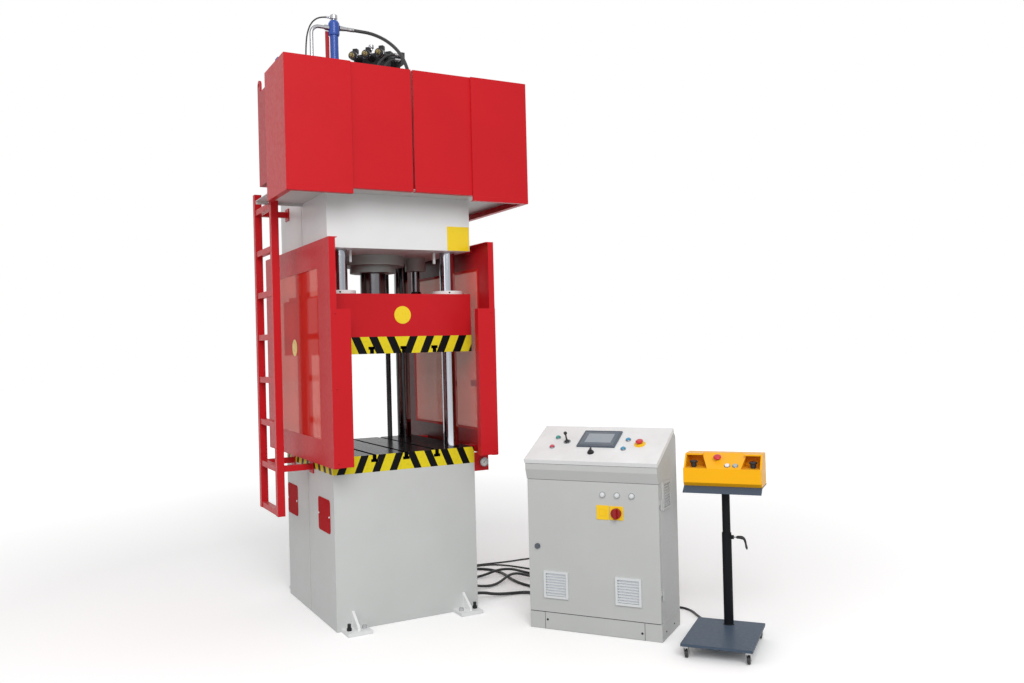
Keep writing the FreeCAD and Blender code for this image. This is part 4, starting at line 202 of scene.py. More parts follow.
def painted(
    name, colour, roughness, wear=0.15, dust=0.15, edge=0.0015, peel=0.00002, coat=0.0, gloss=0.3,
    tone=None,
):
    """Sprayed or powder-coated steel. tone(tree) may give the colour from the place instead."""
    made, tree, surface = material(name)
    cloud = use(tree, CLOUDY_TONE)
    edges = use(tree, ROUNDED_EDGES, {"Radius": edge})
    base = tone(tree) if tone else mixed(tree, cloud["Slow"], shade(colour, 0.95), shade(colour, 1.05))
    rubbed = product(tree, edges["Edge"], ranged(tree, cloud["Fine"], 0.45, 0.7), wear)
    worn = mixed(tree, rubbed, base, RUBBED_STEEL)
    dusty = mixed(tree, use(tree, SETTLED_DUST, {"Amount": dust})["Mask"], worn, DUST_COLOUR)
    rough = ranged(tree, cloud["Fine"], 0.3, 0.7, roughness - 0.05, roughness + 0.07)
    normal = use(tree, ORANGE_PEEL, {"Normal": edges["Normal"], "Height": peel})["Normal"]
    cover(tree, surface, {
        "Base Color": dusty, "Roughness": rough, "Normal": normal, "Coat Weight": coat,
        "Specular IOR Level": gloss,
    })
    return made


def dress(finish, *names):
    """Gives CAD nodes their finish."""
    for name in names:
        piece = nodes[name]
        piece.data.materials.clear()
        piece.data.materials.append(finish)


BASE_GREY = painted("base light grey", (0.575, 0.59, 0.58), 0.42)
dress(BASE_GREY, "base_frame", "skirt_deck")

# --- Hatch covers and feet ---
# Red covers are pressed from thin sheet and screwed over the openings in the
# base. The feet are white brackets welded on low down, with black bolts.

X_AXIS, Y_AXIS, Z_AXIS = np.eye(3)


def bare_metal(name, colour, roughness, grain=(1.0, 1.0, 1.0), tone=None):
    """Bare metal with fine tool marks drawn out across the grain's short axis."""
    made, tree, surface = material(name)
    marks = noise(tree, vector_node(tree, "MULTIPLY", object_place(tree), grain), 420.0, 2.0)
    cloud = use(tree, CLOUDY_TONE, {"Scale": 6.0})
    edges = use(tree, ROUNDED_EDGES, {"Radius": 0.0008})
    rough = ranged(tree, marks, 0.3, 0.7, roughness * 0.8, roughness * 1.25)
    tint = tone(tree) if tone else mixed(tree, cloud["Slow"], shade(colour, 0.95), shade(colour, 1.05))
    grooves = {"Height": marks, "Distance": 0.000004, "Normal": edges["Normal"]}
    bump = add(tree, "Bump", grooves).outputs["Normal"]
    cover(tree, surface, {"Base Color": tint, "Metallic": 1.0, "Roughness": rough, "Normal": bump})
    return made


def grid_faces(rows, columns, ring):
    """Quads of a grid whose columns close on themselves, and its rows too where it is a ring."""
    row = np.arange(rows if ring else rows - 1)[:, None]
    column = np.arange(columns)[None]
    beside, low, high = (column + 1) % columns, row * columns, (row + 1) % rows * columns
    corners = [low + column, low + beside, high + beside, high + column]
    quads = np.stack(np.broadcast_arrays(*corners), axis=-1).reshape(-1, 4)
    if ring:
        return [quads]
    return [quads, np.stack([np.arange(columns)[::-1], (rows - 1) * columns + np.arange(columns)])]


def carried_round(corners, profile, steps=8, ring=False):
    """A profile carried round an outline. The outline's corners, counter-clockwise, are each pushed out by
    the profile's reach along arc directions that turn from one side's normal to the next, and the whole
    outline stands at the profile's height. One corner alone gives a round shape."""
    corners = np.array(corners, dtype=float).reshape(-1, 2)
    sides = np.roll(corners, -1, axis=0) - corners
    normals = np.arctan2(sides[:, 1], sides[:, 0]) - math.pi / 2
    if len(corners) == 1:
        angles = np.linspace(0.0, math.tau, 4 * steps, endpoint=False)[None]
    else:
        start = np.roll(normals, 1)
        turn = np.mod(normals - start, math.tau)
        angles = start[:, None] + turn[:, None] * np.linspace(0.0, 1.0, steps)
    centres = np.repeat(corners, angles.shape[1], axis=0)
    arms = np.column_stack([np.cos(angles.ravel()), np.sin(angles.ravel())])
    profile = np.array(profile, dtype=float)
    flat = centres + profile[:, None, :1] * arms
    height = np.broadcast_to(profile[:, None, 1:], flat.shape[:2] + (1,))
    points = np.concatenate([flat, height], axis=2).reshape(-1, 3)
    return points, grid_faces(len(profile), len(arms), ring)


def turned(profile, steps=8, ring=False):
    """A round shape from its profile."""
    return carried_round([(0, 0)], profile, steps, ring)


def oblong(x, y):
    """The corners of a rectangle from -x to x and from -y to y."""
    return [(-x, -y), (x, -y), (x, y), (-x, y)]


def plaque(wide, high, thick, corner=3.0, bevel=0.6):
    """A flat plate with round corners and a bevelled front edge, its back on the seat."""
    profile = [(corner, 0), (corner, thick - bevel), (corner - bevel, thick)]
    return carried_round(oblong(wide / 2 - corner, high / 2 - corner), profile)


def collar(inner, outer, high, bevel=0.6):
    """A round ring with both upper edges bevelled."""
    low = high - bevel
    return turned(
        [(inner, 0), (outer, 0), (outer, low), (outer - bevel, high), (inner + bevel, high), (inner, low)],
        ring=True,
    )


def screw_head(radius, high, steps=24):
    """A domed head with a hexagon socket. The dome's reach and height follow a quarter ellipse. The
    socket's reach is its half width over the cosine of the angle from the middle of the nearest flat."""
    angle = np.arange(steps) * math.tau / steps
    rise = np.linspace(0.0, 0.3 * math.pi, 6)
    flat = 0.42 * radius / np.cos(angle % (math.pi / 3) - math.pi / 6)
    reach = np.concatenate([np.outer(radius * np.cos(rise), np.ones(steps)), [flat, flat]])
    height = np.concatenate([high * np.sin(rise), [high * 0.95, high * 0.3]])[:, None] * np.ones(steps)
    points = np.stack([reach * np.cos(angle), reach * np.sin(angle), height], axis=2).reshape(-1, 3)
    return points, grid_faces(len(height), steps, False)


def seat(origin, across, up):
    """Where a piece stands: a place in mm, and the directions of its x, its y and its height."""
    across, up = np.array(across, dtype=float), np.array(up, dtype=float)
    return np.array(origin, dtype=float), np.column_stack([across, up, np.cross(across, up)])


def in_scene(name, data):
    """A new object in the scene."""
    made = bpy.data.objects.new(name, data)
    bpy.context.scene.collection.objects.link(made)
    return made


def fitted(name, shape, place, finish, body, spots=((0.0, 0.0),)):
    """A piece made of one copy of a shape at each spot of a seat."""
    points, groups = shape
    origin, turn = place
    shifts = np.array([(*spot, 0.0)[:3] for spot in spots])
    world = (origin + (points[None] + shifts[:, None]).reshape(-1, 3) @ turn.T) * MM
    offsets = (np.arange(len(shifts)) * len(points))[:, None, None]
    faces = [face for group in groups for face in (group + offsets).reshape(-1, group.shape[1]).tolist()]
    mesh = bpy.data.meshes.new(name)
    mesh.from_pydata(world.tolist(), [], faces)
    mesh.shade_smooth()
    mesh.set_sharp_from_angle(angle=math.radians(32))
    mesh.materials.append(finish)
    made = in_scene(name, mesh)
    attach(made, body)
    return made


def fit_all(place, body, rows):
    """Several pieces on one seat. A row is a piece's name, shape and finish, then its spots."""
    for name, shape, finish, *spots in rows:
        fitted(name, shape, place, finish, body, spots or ((0.0, 0.0),))


FRONT, LEFT, RIGHT = (X_AXIS, Z_AXIS), (-Y_AXIS, Z_AXIS), (Y_AXIS, Z_AXIS)
RED_COLOUR, BOLT_BLACK = (0.54, 0.013, 0.019), (0.02, 0.02, 0.022)
MACHINE_RED = painted("machine red", RED_COLOUR, 0.34, gloss=0.12)
HATCH_RED = painted("hatch red", (0.44, 0.008, 0.012), 0.6, gloss=0.04)
FOOT_WHITE = painted("foot white", (0.8, 0.81, 0.81), 0.45)
BLACK_OXIDE = painted("black bolt", BOLT_BLACK, 0.45, wear=0.5, edge=0.0008, gloss=0.2)


def fastener_tone(tree):
    """Black bolts, but for the short pale ones that hold each foot to the floor nearer the middle."""
    parts = split(tree, object_place(tree))
    inner = calc(tree, "LESS_THAN", calc(tree, "ABSOLUTE", parts["X"]), 0.3)
    ahead = calc(tree, "GREATER_THAN", calc(tree, "ABSOLUTE", parts["Y"]), 0.48)
    low = calc(tree, "LESS_THAN", parts["Z"], 0.06)
    return mixed(tree, product(tree, inner, ahead, low), BOLT_BLACK, (0.45, 0.46, 0.47))


FASTENERS = painted(
    "frame bolts", BOLT_BLACK, 0.45, edge=0.0008, gloss=0.2, tone=fastener_tone
)
ZINC = bare_metal("zinc screw", (0.62, 0.63, 0.65), 0.25)
dress(HATCH_RED, "hatch_covers")
dress(FOOT_WHITE, "foot_brackets")
dress(FASTENERS, "frame_fasteners")
hatch_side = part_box("hatch_covers")[1][0] / MM
for name, side, facing in (("left", -1, LEFT), ("right", 1, RIGHT)):
    fitted(
        f"hatch_screws_{name}", screw_head(6, 4), seat((side * hatch_side, 0, 0), *facing), ZINC, "press",
        [(side * y, 583) for y in (-375, -190, 245, 430)],
    )

# --- Table and slide plates ---
# Both plates are thick steel, ground on their working faces. Their outer edges
# are painted yellow with black bars that lean to a wedge in the middle.


def leaning_bars(tree, lean, first, low_mm, pitch, black, middle):
    """Black bars mirrored about the middle: the place along the edge, less lean times the height, repeats."""
    parts = split(tree, object_place(tree))
    facing = add(tree, "NewGeometry").outputs["True Normal"]
    sideways = calc(tree, "ABSOLUTE", split(tree, facing)["X"])
    on_side = calc(tree, "GREATER_THAN", sideways, 0.5)
    across = calc(tree, "ABSOLUTE", calc(tree, "SUBTRACT", parts["X"], middle * MM))
    back = calc(tree, "ABSOLUTE", calc(tree, "ADD", parts["Y"], 0.045))
    along = add(tree, "Mix", {0: on_side, 2: across, 3: back}, data_type="FLOAT").outputs[0]
    rise = calc(tree, "SUBTRACT", parts["Z"], low_mm * MM)
    shifted = calc(tree, "SUBTRACT", along, product(tree, rise, lean))
    shifted = calc(tree, "SUBTRACT", shifted, first * MM)
    turn = calc(tree, "FRACT", calc(tree, "DIVIDE", shifted, pitch * MM))
    barred = calc(tree, "LESS_THAN", turn, black / pitch)
    return product(tree, barred, calc(tree, "GREATER_THAN", shifted, 0.0)), parts, facing


table_low, table_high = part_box("table_plate")
slide_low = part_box("slide_plate")[0]


def plate(name, *bar_sizes):
    """Ground steel, darkened as a painted dark reflection, with barred paint on the four outer edges."""
    made, tree, surface = material(name)
    bars, parts, facing = leaning_bars(tree, *bar_sizes)
    cloud = use(tree, CLOUDY_TONE, {"Scale": 7.0})
    edges = use(tree, ROUNDED_EDGES, {"Radius": 0.001})
    yellow = mixed(tree, ranged(tree, cloud["Fine"], 0.5, 0.75), (0.78, 0.64, 0.02), (0.66, 0.54, 0.03))
    paint = mixed(tree, bars, yellow, (0.004, 0.004, 0.005))
    # The steel is darkened well below bare steel: a painted dark reflection.
    steel = mixed(tree, cloud["Slow"], (0.07, 0.072, 0.075), (0.14, 0.143, 0.146))
    outside_x, outside_y = (
        calc(tree, "GREATER_THAN", calc(tree, "ABSOLUTE", parts[axis]), (table_high[i] / MM - 1) * MM)
        for i, axis in enumerate("XY")
    )
    outer = calc(tree, "MAXIMUM", outside_x, outside_y)
    level = calc(tree, "GREATER_THAN", calc(tree, "ABSOLUTE", split(tree, facing)["Z"]), 0.5)
    on_paint = product(tree, outer, calc(tree, "SUBTRACT", 1.0, level))
    worn = mixed(tree, product(tree, edges["Edge"], 0.35), paint, (0.3, 0.3, 0.3))
    steel_rough = ranged(tree, cloud["Fine"], 0.3, 0.7, 0.12, 0.28)
    cover(tree, surface, {
        "Base Color": mixed(tree, on_paint, steel, worn),
        "Roughness": add(tree, "Mix", {0: on_paint, 2: steel_rough, 3: 0.42}, data_type="FLOAT").outputs[0],
        "Metallic": calc(tree, "SUBTRACT", 0.9, product(tree, on_paint, 0.9)),
        "Normal": edges["Normal"],
        "Specular IOR Level": 0.2,
        "Specular Tint": (0.35, 0.35, 0.36),
    })
    return made


dress(plate("table plate", -0.427, 50, table_low[2] / MM, 97.0, 42.5, -5.5), "table_plate")
dress(plate("slide plate", 0.44, 4, slide_low[2] / MM, 97.5, 46.5, -7.0), "slide_plate")

# --- Crown ---
# The crown is a welded box like the base, painted white, which carries the
# main cylinder. The flanges and glands under it are left in grey primer.

CROWN_WHITE = painted("crown white", (0.77, 0.785, 0.785), 0.4)
PRIMER_GREY = painted("primer grey", (0.4, 0.455, 0.44), 0.5)
SIGN_YELLOW = painted("sign yellow", (0.86, 0.62, 0.008), 0.3, wear=0.0, peel=0.0, coat=0.3)
dress(CROWN_WHITE, "crown_frame")
dress(PRIMER_GREY, "main_cylinder", "side_cylinders")
crown_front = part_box("crown_frame")[0][1] / MM
fitted("crown_sign", plaque(134, 134, 1.2), seat((339, crown_front, 2059), *FRONT), SIGN_YELLOW, "press")

# --- Columns, rods and slide ---
# The four columns and the rods are hard-chromed bar, ground round. The slide
# is a red welded box with a white bush flange over every column.


def column_painted_light(tree):
    """Painted light: bright in front, more on the right, painted shade behind, painted reflection streaks."""
    place = object_place(tree)
    parts = split(tree, place)
    reflection_streaks = noise(tree, vector_node(tree, "MULTIPLY", place, (1.0, 1.0, 0.012)), 55.0, 3.0)
    painted_shade_behind = mixed(tree, ranged(tree, reflection_streaks, 0.45, 0.62), (0.035, 0.035, 0.038), (0.34, 0.34, 0.35))
    # Painted reflection streaks set how bright the front columns are.
    shine = ranged(tree, reflection_streaks, 0.35, 0.65)
    left = mixed(tree, shine, (0.27, 0.29, 0.33), (0.4, 0.42, 0.45))
    right = mixed(tree, shine, (0.36, 0.38, 0.42), (0.5, 0.52, 0.56))
    bright = mixed(tree, calc(tree, "GREATER_THAN", parts["X"], 0.0), left, right)
    return mixed(tree, calc(tree, "GREATER_THAN", parts["Y"], 0.0), bright, painted_shade_behind)


BAR_GRAIN = (0.2, 0.2, 4.0)
# The columns' colour is painted light: painted shade behind and painted reflection streaks.
CHROME = bare_metal("hard chrome", (0.6, 0.62, 0.65), 0.1, BAR_GRAIN, column_painted_light)
# The rods' chrome is much darker than the columns': painted shade under the crown.
ROD_CHROME_SHADED = bare_metal("ram chrome", (0.16, 0.16, 0.17), 0.12, BAR_GRAIN)
dress(CHROME, "columns")
dress(ROD_CHROME_SHADED, "ram_rods")
dress(MACHINE_RED, "slide_body")
dress(CROWN_WHITE, "guide_bushes")
# One black set screw in each bush flange, turned a little to the left of straight ahead.
for number, across, along in ((1, -314, -350), (2, 314, -350), (3, -314, 350), (4, 314, 350)):
    out = np.array([-0.292, math.copysign(0.956, along), 0.0])
    rim = np.array([across, along, 1762.0]) + 83.7 * out
    rim_seat = seat(rim, np.cross(Z_AXIS, out), Z_AXIS)
    fitted(f"bush_screw_{number}", screw_head(5, 2.5), rim_seat, BLACK_OXIDE, "slide")
slide_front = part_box("slide_body")[0][1] / MM
fitted(
    "slide_sign", turned([(47.5, 0), (47.5, 0.8), (47, 1.2)], 16), seat((-2, slide_front, 1638), *FRONT),
    SIGN_YELLOW, "slide",
)

# --- Side guards ---
# Folded red sheet hangs down each side, with a pane of smoke-red acrylic in a
# cut window, and a cover plate over each yellow light curtain.


def tinted_pane(name, tint, milk, milkiness):
    """Tinted acrylic: light passes straight and takes the tint, some scatters, and a thin shine is on top."""
    made, tree, surface = material(name)
    cloud = use(tree, CLOUDY_TONE, {"Scale": 3.0})
    clear = mixed(tree, cloud["Slow"], shade(tint, 0.96), shade(tint, 1.04))
    through = add(tree, "BsdfTransparent", {"Color": clear}).outputs[0]
    scatter = add(tree, "BsdfDiffuse", {"Color": milk}).outputs[0]
    smeared = ranged(tree, cloud["Fine"], 0.3, 0.75, milkiness * 0.97, milkiness * 1.04)
    body = add(tree, "MixShader", {0: smeared, 1: through, 2: scatter}).outputs[0]
    gloss = add(tree, "BsdfAnisotropic", {"Roughness": 0.07}).outputs[0]
    fresnel = add(tree, "Fresnel", {"IOR": 1.25}).outputs[0]
    inside = add(tree, "NewGeometry").outputs["Backfacing"]
    shine = product(tree, fresnel, calc(tree, "SUBTRACT", 0.4, product(tree, inside, 0.4)))
    tree.links.new(add(tree, "MixShader", {0: shine, 1: body, 2: gloss}).outputs[0], surface)
    return made


def guard_painted_shade(tree):
    """Machine red outside. The faces turned to the working space get darker towards the back: painted shade.
    """
    parts = split(tree, object_place(tree))
    sideways = split(tree, add(tree, "NewGeometry").outputs["True Normal"])["X"]
    inner = calc(tree, "LESS_THAN", product(tree, sideways, parts["X"]), -0.1)
    inside = mixed(tree, ranged(tree, parts["Y"], -0.45, 0.1), (0.5, 0.012, 0.017), (0.09, 0.004, 0.006))
    return mixed(tree, inner, RED_COLOUR, inside)


# The guard's inner faces darken towards the back: painted shade.
GUARD_RED = painted("guard red", RED_COLOUR, 0.34, gloss=0.12, tone=guard_painted_shade)
PANE = tinted_pane("tinted acrylic", (0.88, 0.88, 0.82), (0.88, 0.04, 0.03), 0.64)
CURTAIN_YELLOW = painted("curtain yellow", (0.75, 0.52, 0.02), 0.4)
dress(GUARD_RED, "guard_sheets")
dress(MACHINE_RED, "curtain_covers")
dress(PANE, "guard_windows")
dress(CURTAIN_YELLOW, "light_curtains")
cover_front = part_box("curtain_covers")[0][1] / MM
fitted(
    "cover_screws", screw_head(5.5, 3.5), seat((0, cover_front, 0), *FRONT), MACHINE_RED, "press",
    [(side * 436, high) for side in (-1, 1) for high in (892, 1263, 1640)],
)
pane_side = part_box("guard_windows")[1][0] / MM
fitted(
    "guard_sign", turned([(47, 0), (47, 0.6), (46.5, 1)], 16), seat((-pane_side, 37, 1476), *LEFT),
    SIGN_YELLOW, "press",
)
DARK_RED = painted("dark red plate", (0.36, 0.008, 0.012), 0.3, wear=0.0)
fitted("pane_tag", plaque(75, 35, 1.2), seat((pane_side - 5, -376, 1250), *LEFT), DARK_RED, "press")

# --- Ladder and top skirt ---
# The ladder is square tube with welded rungs. The skirt is four folded red
# sheets screwed to posts, which hide the tank and the pump.

dress(MACHINE_RED, "ladder", "skirt_corners", "skirt_panels")
HEM = 25
for name, node, wide, out in (("corner", "skirt_corners", 337, 502.5), ("panel", "skirt_panels", 327, 169.5)):
    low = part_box(node)[0] / MM
    hem_seat = seat((0, low[1], low[2] + HEM / 2), *FRONT)
    hem = plaque(wide, HEM, 1.2, 1.0, 0.8)
    fitted(f"{name}_hems", hem, hem_seat, MACHINE_RED, "press", [(-out, 0), (out, 0)])

# --- Hydraulic unit ---
# A folded tank, a motor with its pump, a cast valve block with three coils,
# and a blue pressure filter on a post, joined by bright fittings.

# The tank's red is darker than the machine red: painted shade under the skirt.
TANK_RED_SHADED = painted("tank red", (0.42, 0.012, 0.018), 0.45)
MOTOR_PAINT = painted("motor grey", (0.07, 0.08, 0.09), 0.55, peel=0.00006)
CREAM_PLASTIC = painted("cream plastic", (0.62, 0.5, 0.2), 0.4, wear=0.0)
BLACK_PLASTIC = painted("black plastic", (0.018, 0.018, 0.02), 0.45, wear=0.0)
VALVE_DARK = painted("valve block dark", (0.035, 0.036, 0.04), 0.5, wear=0.4)
FILTER_BLUE = painted("filter blue", (0.02, 0.075, 0.37), 0.3, coat=0.2)
BRIGHT = bare_metal("bright fitting", (0.42, 0.42, 0.44), 0.22)
dress(TANK_RED_SHADED, "oil_tank")
dress(MOTOR_PAINT, "pump_motor")
dress(VALVE_DARK, "valve_block")
dress(FILTER_BLUE, "oil_filter")
dress(BRIGHT, "filter_fittings")
coil_across = math.sqrt(0.5) * (X_AXIS - Y_AXIS)
coil_out = np.cross(coil_across, Z_AXIS)
block_at = np.array([43.0, -43.0, 2930.0])
COIL_PITCH = 81
COIL_SPOTS = [(-COIL_PITCH, 195), (0, 195), (COIL_PITCH, 195)]
hexagon = [(9 * math.cos(math.radians(60 * k)), 9 * math.sin(math.radians(60 * k))) for k in range(6)]
fitted(
    "coil_nuts", carried_round(hexagon, [(5.5, 0.2), (5.5, 11), (4.5, 13), (0.5, 16.6), (-4, 17.4)], 3),
    seat(block_at + 160 * coil_out, coil_across, Z_AXIS), CREAM_PLASTIC, "press", COIL_SPOTS,
)
band_seat = seat(block_at + 136 * coil_out, coil_across, Z_AXIS)
fitted("coil_bands", collar(23.2, 24.6, 9), band_seat, BRIGHT, "press", COIL_SPOTS)
coil_top = seat(block_at + 112 * coil_out + (0, 0, 217), coil_across, -coil_out)
fitted(
    "coil_plugs", carried_round(oblong(11, 11), [(2, 0), (2, 4), (3.5, 5), (3.5, 23), (2, 26), (-2, 27)], 5),
    coil_top, BLACK_PLASTIC, "press", [(-COIL_PITCH, 0), (0, 0), (COIL_PITCH, 0)],
)
fitted(
    "relief_knob", turned([(7, 0), (7, 10), (14, 11), (15, 13), (15, 27), (13, 30), (3, 31)], 7),
    seat((-25, -135, 3155), X_AXIS, Y_AXIS), BRIGHT, "press",
)

# --- Pressure gauge ---
# A small dial gauge screwed to a red plate beside the table. Its case is
# black, its rim bright, and the scale runs round three quarters of the dial.

DIAL_PLACE = (455, -478, 812)
PLATE_FACE = -461.2
GAUGE_RED = (0.5, 0.012, 0.018)


def gauge_tone(tree):
    """Red for the plate at the back, near black for the case in front of it."""
    in_front = calc(tree, "LESS_THAN", split(tree, object_place(tree))["Y"], PLATE_FACE * MM)
    return mixed(tree, in_front, GAUGE_RED, (0.03, 0.03, 0.033))


def dial_tone(tree):
    """A white dial with forty black marks round three quarters of it."""
    middle = tuple(part * MM for part in DIAL_PLACE)
    parts = split(tree, vector_node(tree, "SUBTRACT", object_place(tree), middle))
    flat = add(tree, "CombineXYZ", {"X": parts["X"], "Y": parts["Z"]}).outputs[0]
    reach = add(tree, "VectorMath", {0: flat}, operation="LENGTH").outputs["Value"]
    around = calc(tree, "ARCTAN2", parts["Z"], parts["X"])
    step = calc(tree, "FRACT", product(tree, around, 40 / math.tau))
    marked = product(
        tree, calc(tree, "LESS_THAN", step, 0.22), calc(tree, "GREATER_THAN", reach, 0.0155),
        calc(tree, "LESS_THAN", reach, 0.019), calc(tree, "GREATER_THAN", parts["Z"], -0.012),
    )
    return mixed(tree, marked, (0.82, 0.82, 0.8), (0.02, 0.02, 0.02))


GAUGE_PAINT = painted("gauge plate", GAUGE_RED, 0.36, tone=gauge_tone)
DIAL = painted("gauge dial", (0.8, 0.8, 0.8), 0.5, wear=0.0, dust=0.0, peel=0.0, tone=dial_tone)
dress(GAUGE_PAINT, "pressure_gauge")
needle = [(-3.6, -5), (10.5, 11), (-5, -3.6)]
fit_all(seat(DIAL_PLACE, *FRONT), "press", [
    ("gauge_dial", turned([(21.6, 0.1), (21.6, 0.5), (21, 0.7)], 12), DIAL),
    ("gauge_needle", carried_round(needle, [(0.35, 1), (0.35, 1.5)], 4), BLACK_PLASTIC),
    ("gauge_hub", turned([(3, 0.7), (3, 2), (2.2, 2.5)], 6), BRIGHT),
    ("gauge_bezel", collar(21.8, 25.6, 5.2, 1.2), BRIGHT),
])

# --- Hoses and cables ---
# Rubber hoses join the hydraulic parts on top. On the floor, power and signal
# cables lie in a loose bundle from the base to the back of the cabinet.


def rubber(name, colour, roughness):
    """Extruded rubber with a fine matt grain."""
    made, tree, surface = material(name)
    cloud = use(tree, CLOUDY_TONE, {"Scale": 30.0})
    tint = mixed(tree, cloud["Slow"], shade(colour, 0.8), shade(colour, 1.4))
    rough = ranged(tree, cloud["Fine"], 0.3, 0.7, roughness - 0.08, roughness + 0.1)
    bump = add(tree, "Bump", {"Height": cloud["Fine"], "Distance": 0.00003}).outputs["Normal"]
    cover(tree, surface, {"Base Color": tint, "Roughness": rough, "Normal": bump})
    return made


HOSE_RUBBER = rubber("hose rubber", (0.016, 0.016, 0.017), 0.5)
CABLE_RUBBER = rubber("cable rubber", (0.012, 0.012, 0.013), 0.35)


def metres(mm):
    """A measure in mm as metres, without the tail that the sum leaves."""
    return round(mm * MM, 6)


def sleeve(radius, long, wall, end_wall, grooves):
    """A taper round a cord from wall to end wall thick, cut by narrow grooves round it."""
    along = np.linspace(0.0, 1.0, 4 * grooves + 2)
    cut = np.where(np.arange(len(along)) % 4 // 2 == 1, 0.9, 0.0)
    reach = radius + wall + (end_wall - wall) * along - cut
    return turned(np.column_stack([reach, along * long]), 6)


def sleeve_seat(end, beyond):
    """A seat at a cord's end whose height runs along the cord."""
    along = np.array(beyond, dtype=float) - end
    along = along / np.linalg.norm(along)
    across = np.cross(along, Z_AXIS if abs(along[2]) < 0.9 else X_AXIS)
    across = across / np.linalg.norm(across)
    return seat(end, across, np.cross(along, across))


def lead(finish, name, stands_for, thick, length, stiffness, points):
    """A cord with its radius and points in mm, along an open NURBS line of order 3 that ends on its
    first and last points. Its length is not used. Each end has its sleeve: a tapered rubber relief on a
    cable, a crimped steel ferrule on a hose."""
    line = bpy.data.curves.new(name, "CURVE")
    line.dimensions = "3D"
    spline = line.splines.new("NURBS")
    spline.points.add(len(points) - 1)
    for control, point in zip(spline.points, points):
        control.co = (*map(metres, point), 1.0)
    spline.order_u = 3
    spline.use_endpoint_u = True
    line.bevel_depth = metres(thick)
    line.bevel_resolution = 6
    line.resolution_u = 10
    line.use_fill_caps = True
    line.materials.append(finish)
    made = in_scene(name, line)
    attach(made, "press")
    if finish is CABLE_RUBBER:
        shape, look = sleeve(thick, 22 + thick, 3.6, 0.8, 4), CABLE_RUBBER
    else:
        shape, look = sleeve(thick, 16 + 2.5 * thick, 2.6, 2.2, 2), BRIGHT
    ends = [
        fitted(f"{name}_sleeve_{side}", shape, sleeve_seat(end, beyond), look, "press")
        for side, end, beyond in (("in", points[0], points[1]), ("out", points[-1], points[-2]))
    ]
    if stands_for:
        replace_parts(made, stands_for)


# Each cord's name, the CAD node that it stands for, its radius, length, stiffness and points.
HOSES = [
    ("main_hose", "pressure_hose", 9, 1025, "stiff", [(-205, -250, 3211), (-142, -250, 3211),
     (-80, -294, 3193), (-28, -370, 3142), (3, -460, 3066), (10, -540, 2982), (13, -590, 2895),
     (28, -597, 2812), (68, -590, 2740), (118, -576, 2680), (160, -560, 2628), (180, -550, 2563),
     (180, -550, 2499)]),
    ("pilot_hose", "machine_hoses", 4, 492, "medium", [(-299, -250, 3262), (-350, -250, 3262),
     (-402, -250, 3226), (-428, -250, 3162), (-436, -250, 3090), (-438, -250, 3012), (-434, -250, 2932),
     (-434, -250, 2850)]),
    ("upper_return_hose", None, 7, 541, "medium", [(105, -245, 3112), (62, -245, 3112), (18, -247, 3096),
     (-18, -252, 3062), (-44, -258, 3018), (-62, -262, 2965), (-71, -264, 2908), (-78, -263, 2850),
     (-90, -260, 2800), (-116, -254, 2762), (-154, -250, 2743), (-195, -250, 2743)]),
    ("lower_return_hose", None, 7, 558, "medium", [(105, -245, 3084), (66, -245, 3084), (30, -248, 3067),
     (4, -254, 3034), (-14, -259, 2990), (-28, -263, 2938), (-40, -265, 2880), (-50, -264, 2820),
     (-66, -260, 2765), (-96, -254, 2718), (-142, -250, 2693), (-195, -250, 2693)]),
]
for row in HOSES:
    lead(HOSE_RUBBER, *row)

CONDUIT_GREY = rubber("conduit plastic", (0.055, 0.055, 0.06), 0.5)
fit_all(seat((262, 469.3, 750), X_AXIS, Y_AXIS), "press", [
    ("rear_conduit", sleeve(16, 1280, 0, 0, 80), CONDUIT_GREY),
    ("conduit_glands", collar(15.5, 19, 24, 2.0), BLACK_PLASTIC, (0, 0, 0), (0, 0, 1256)),
])

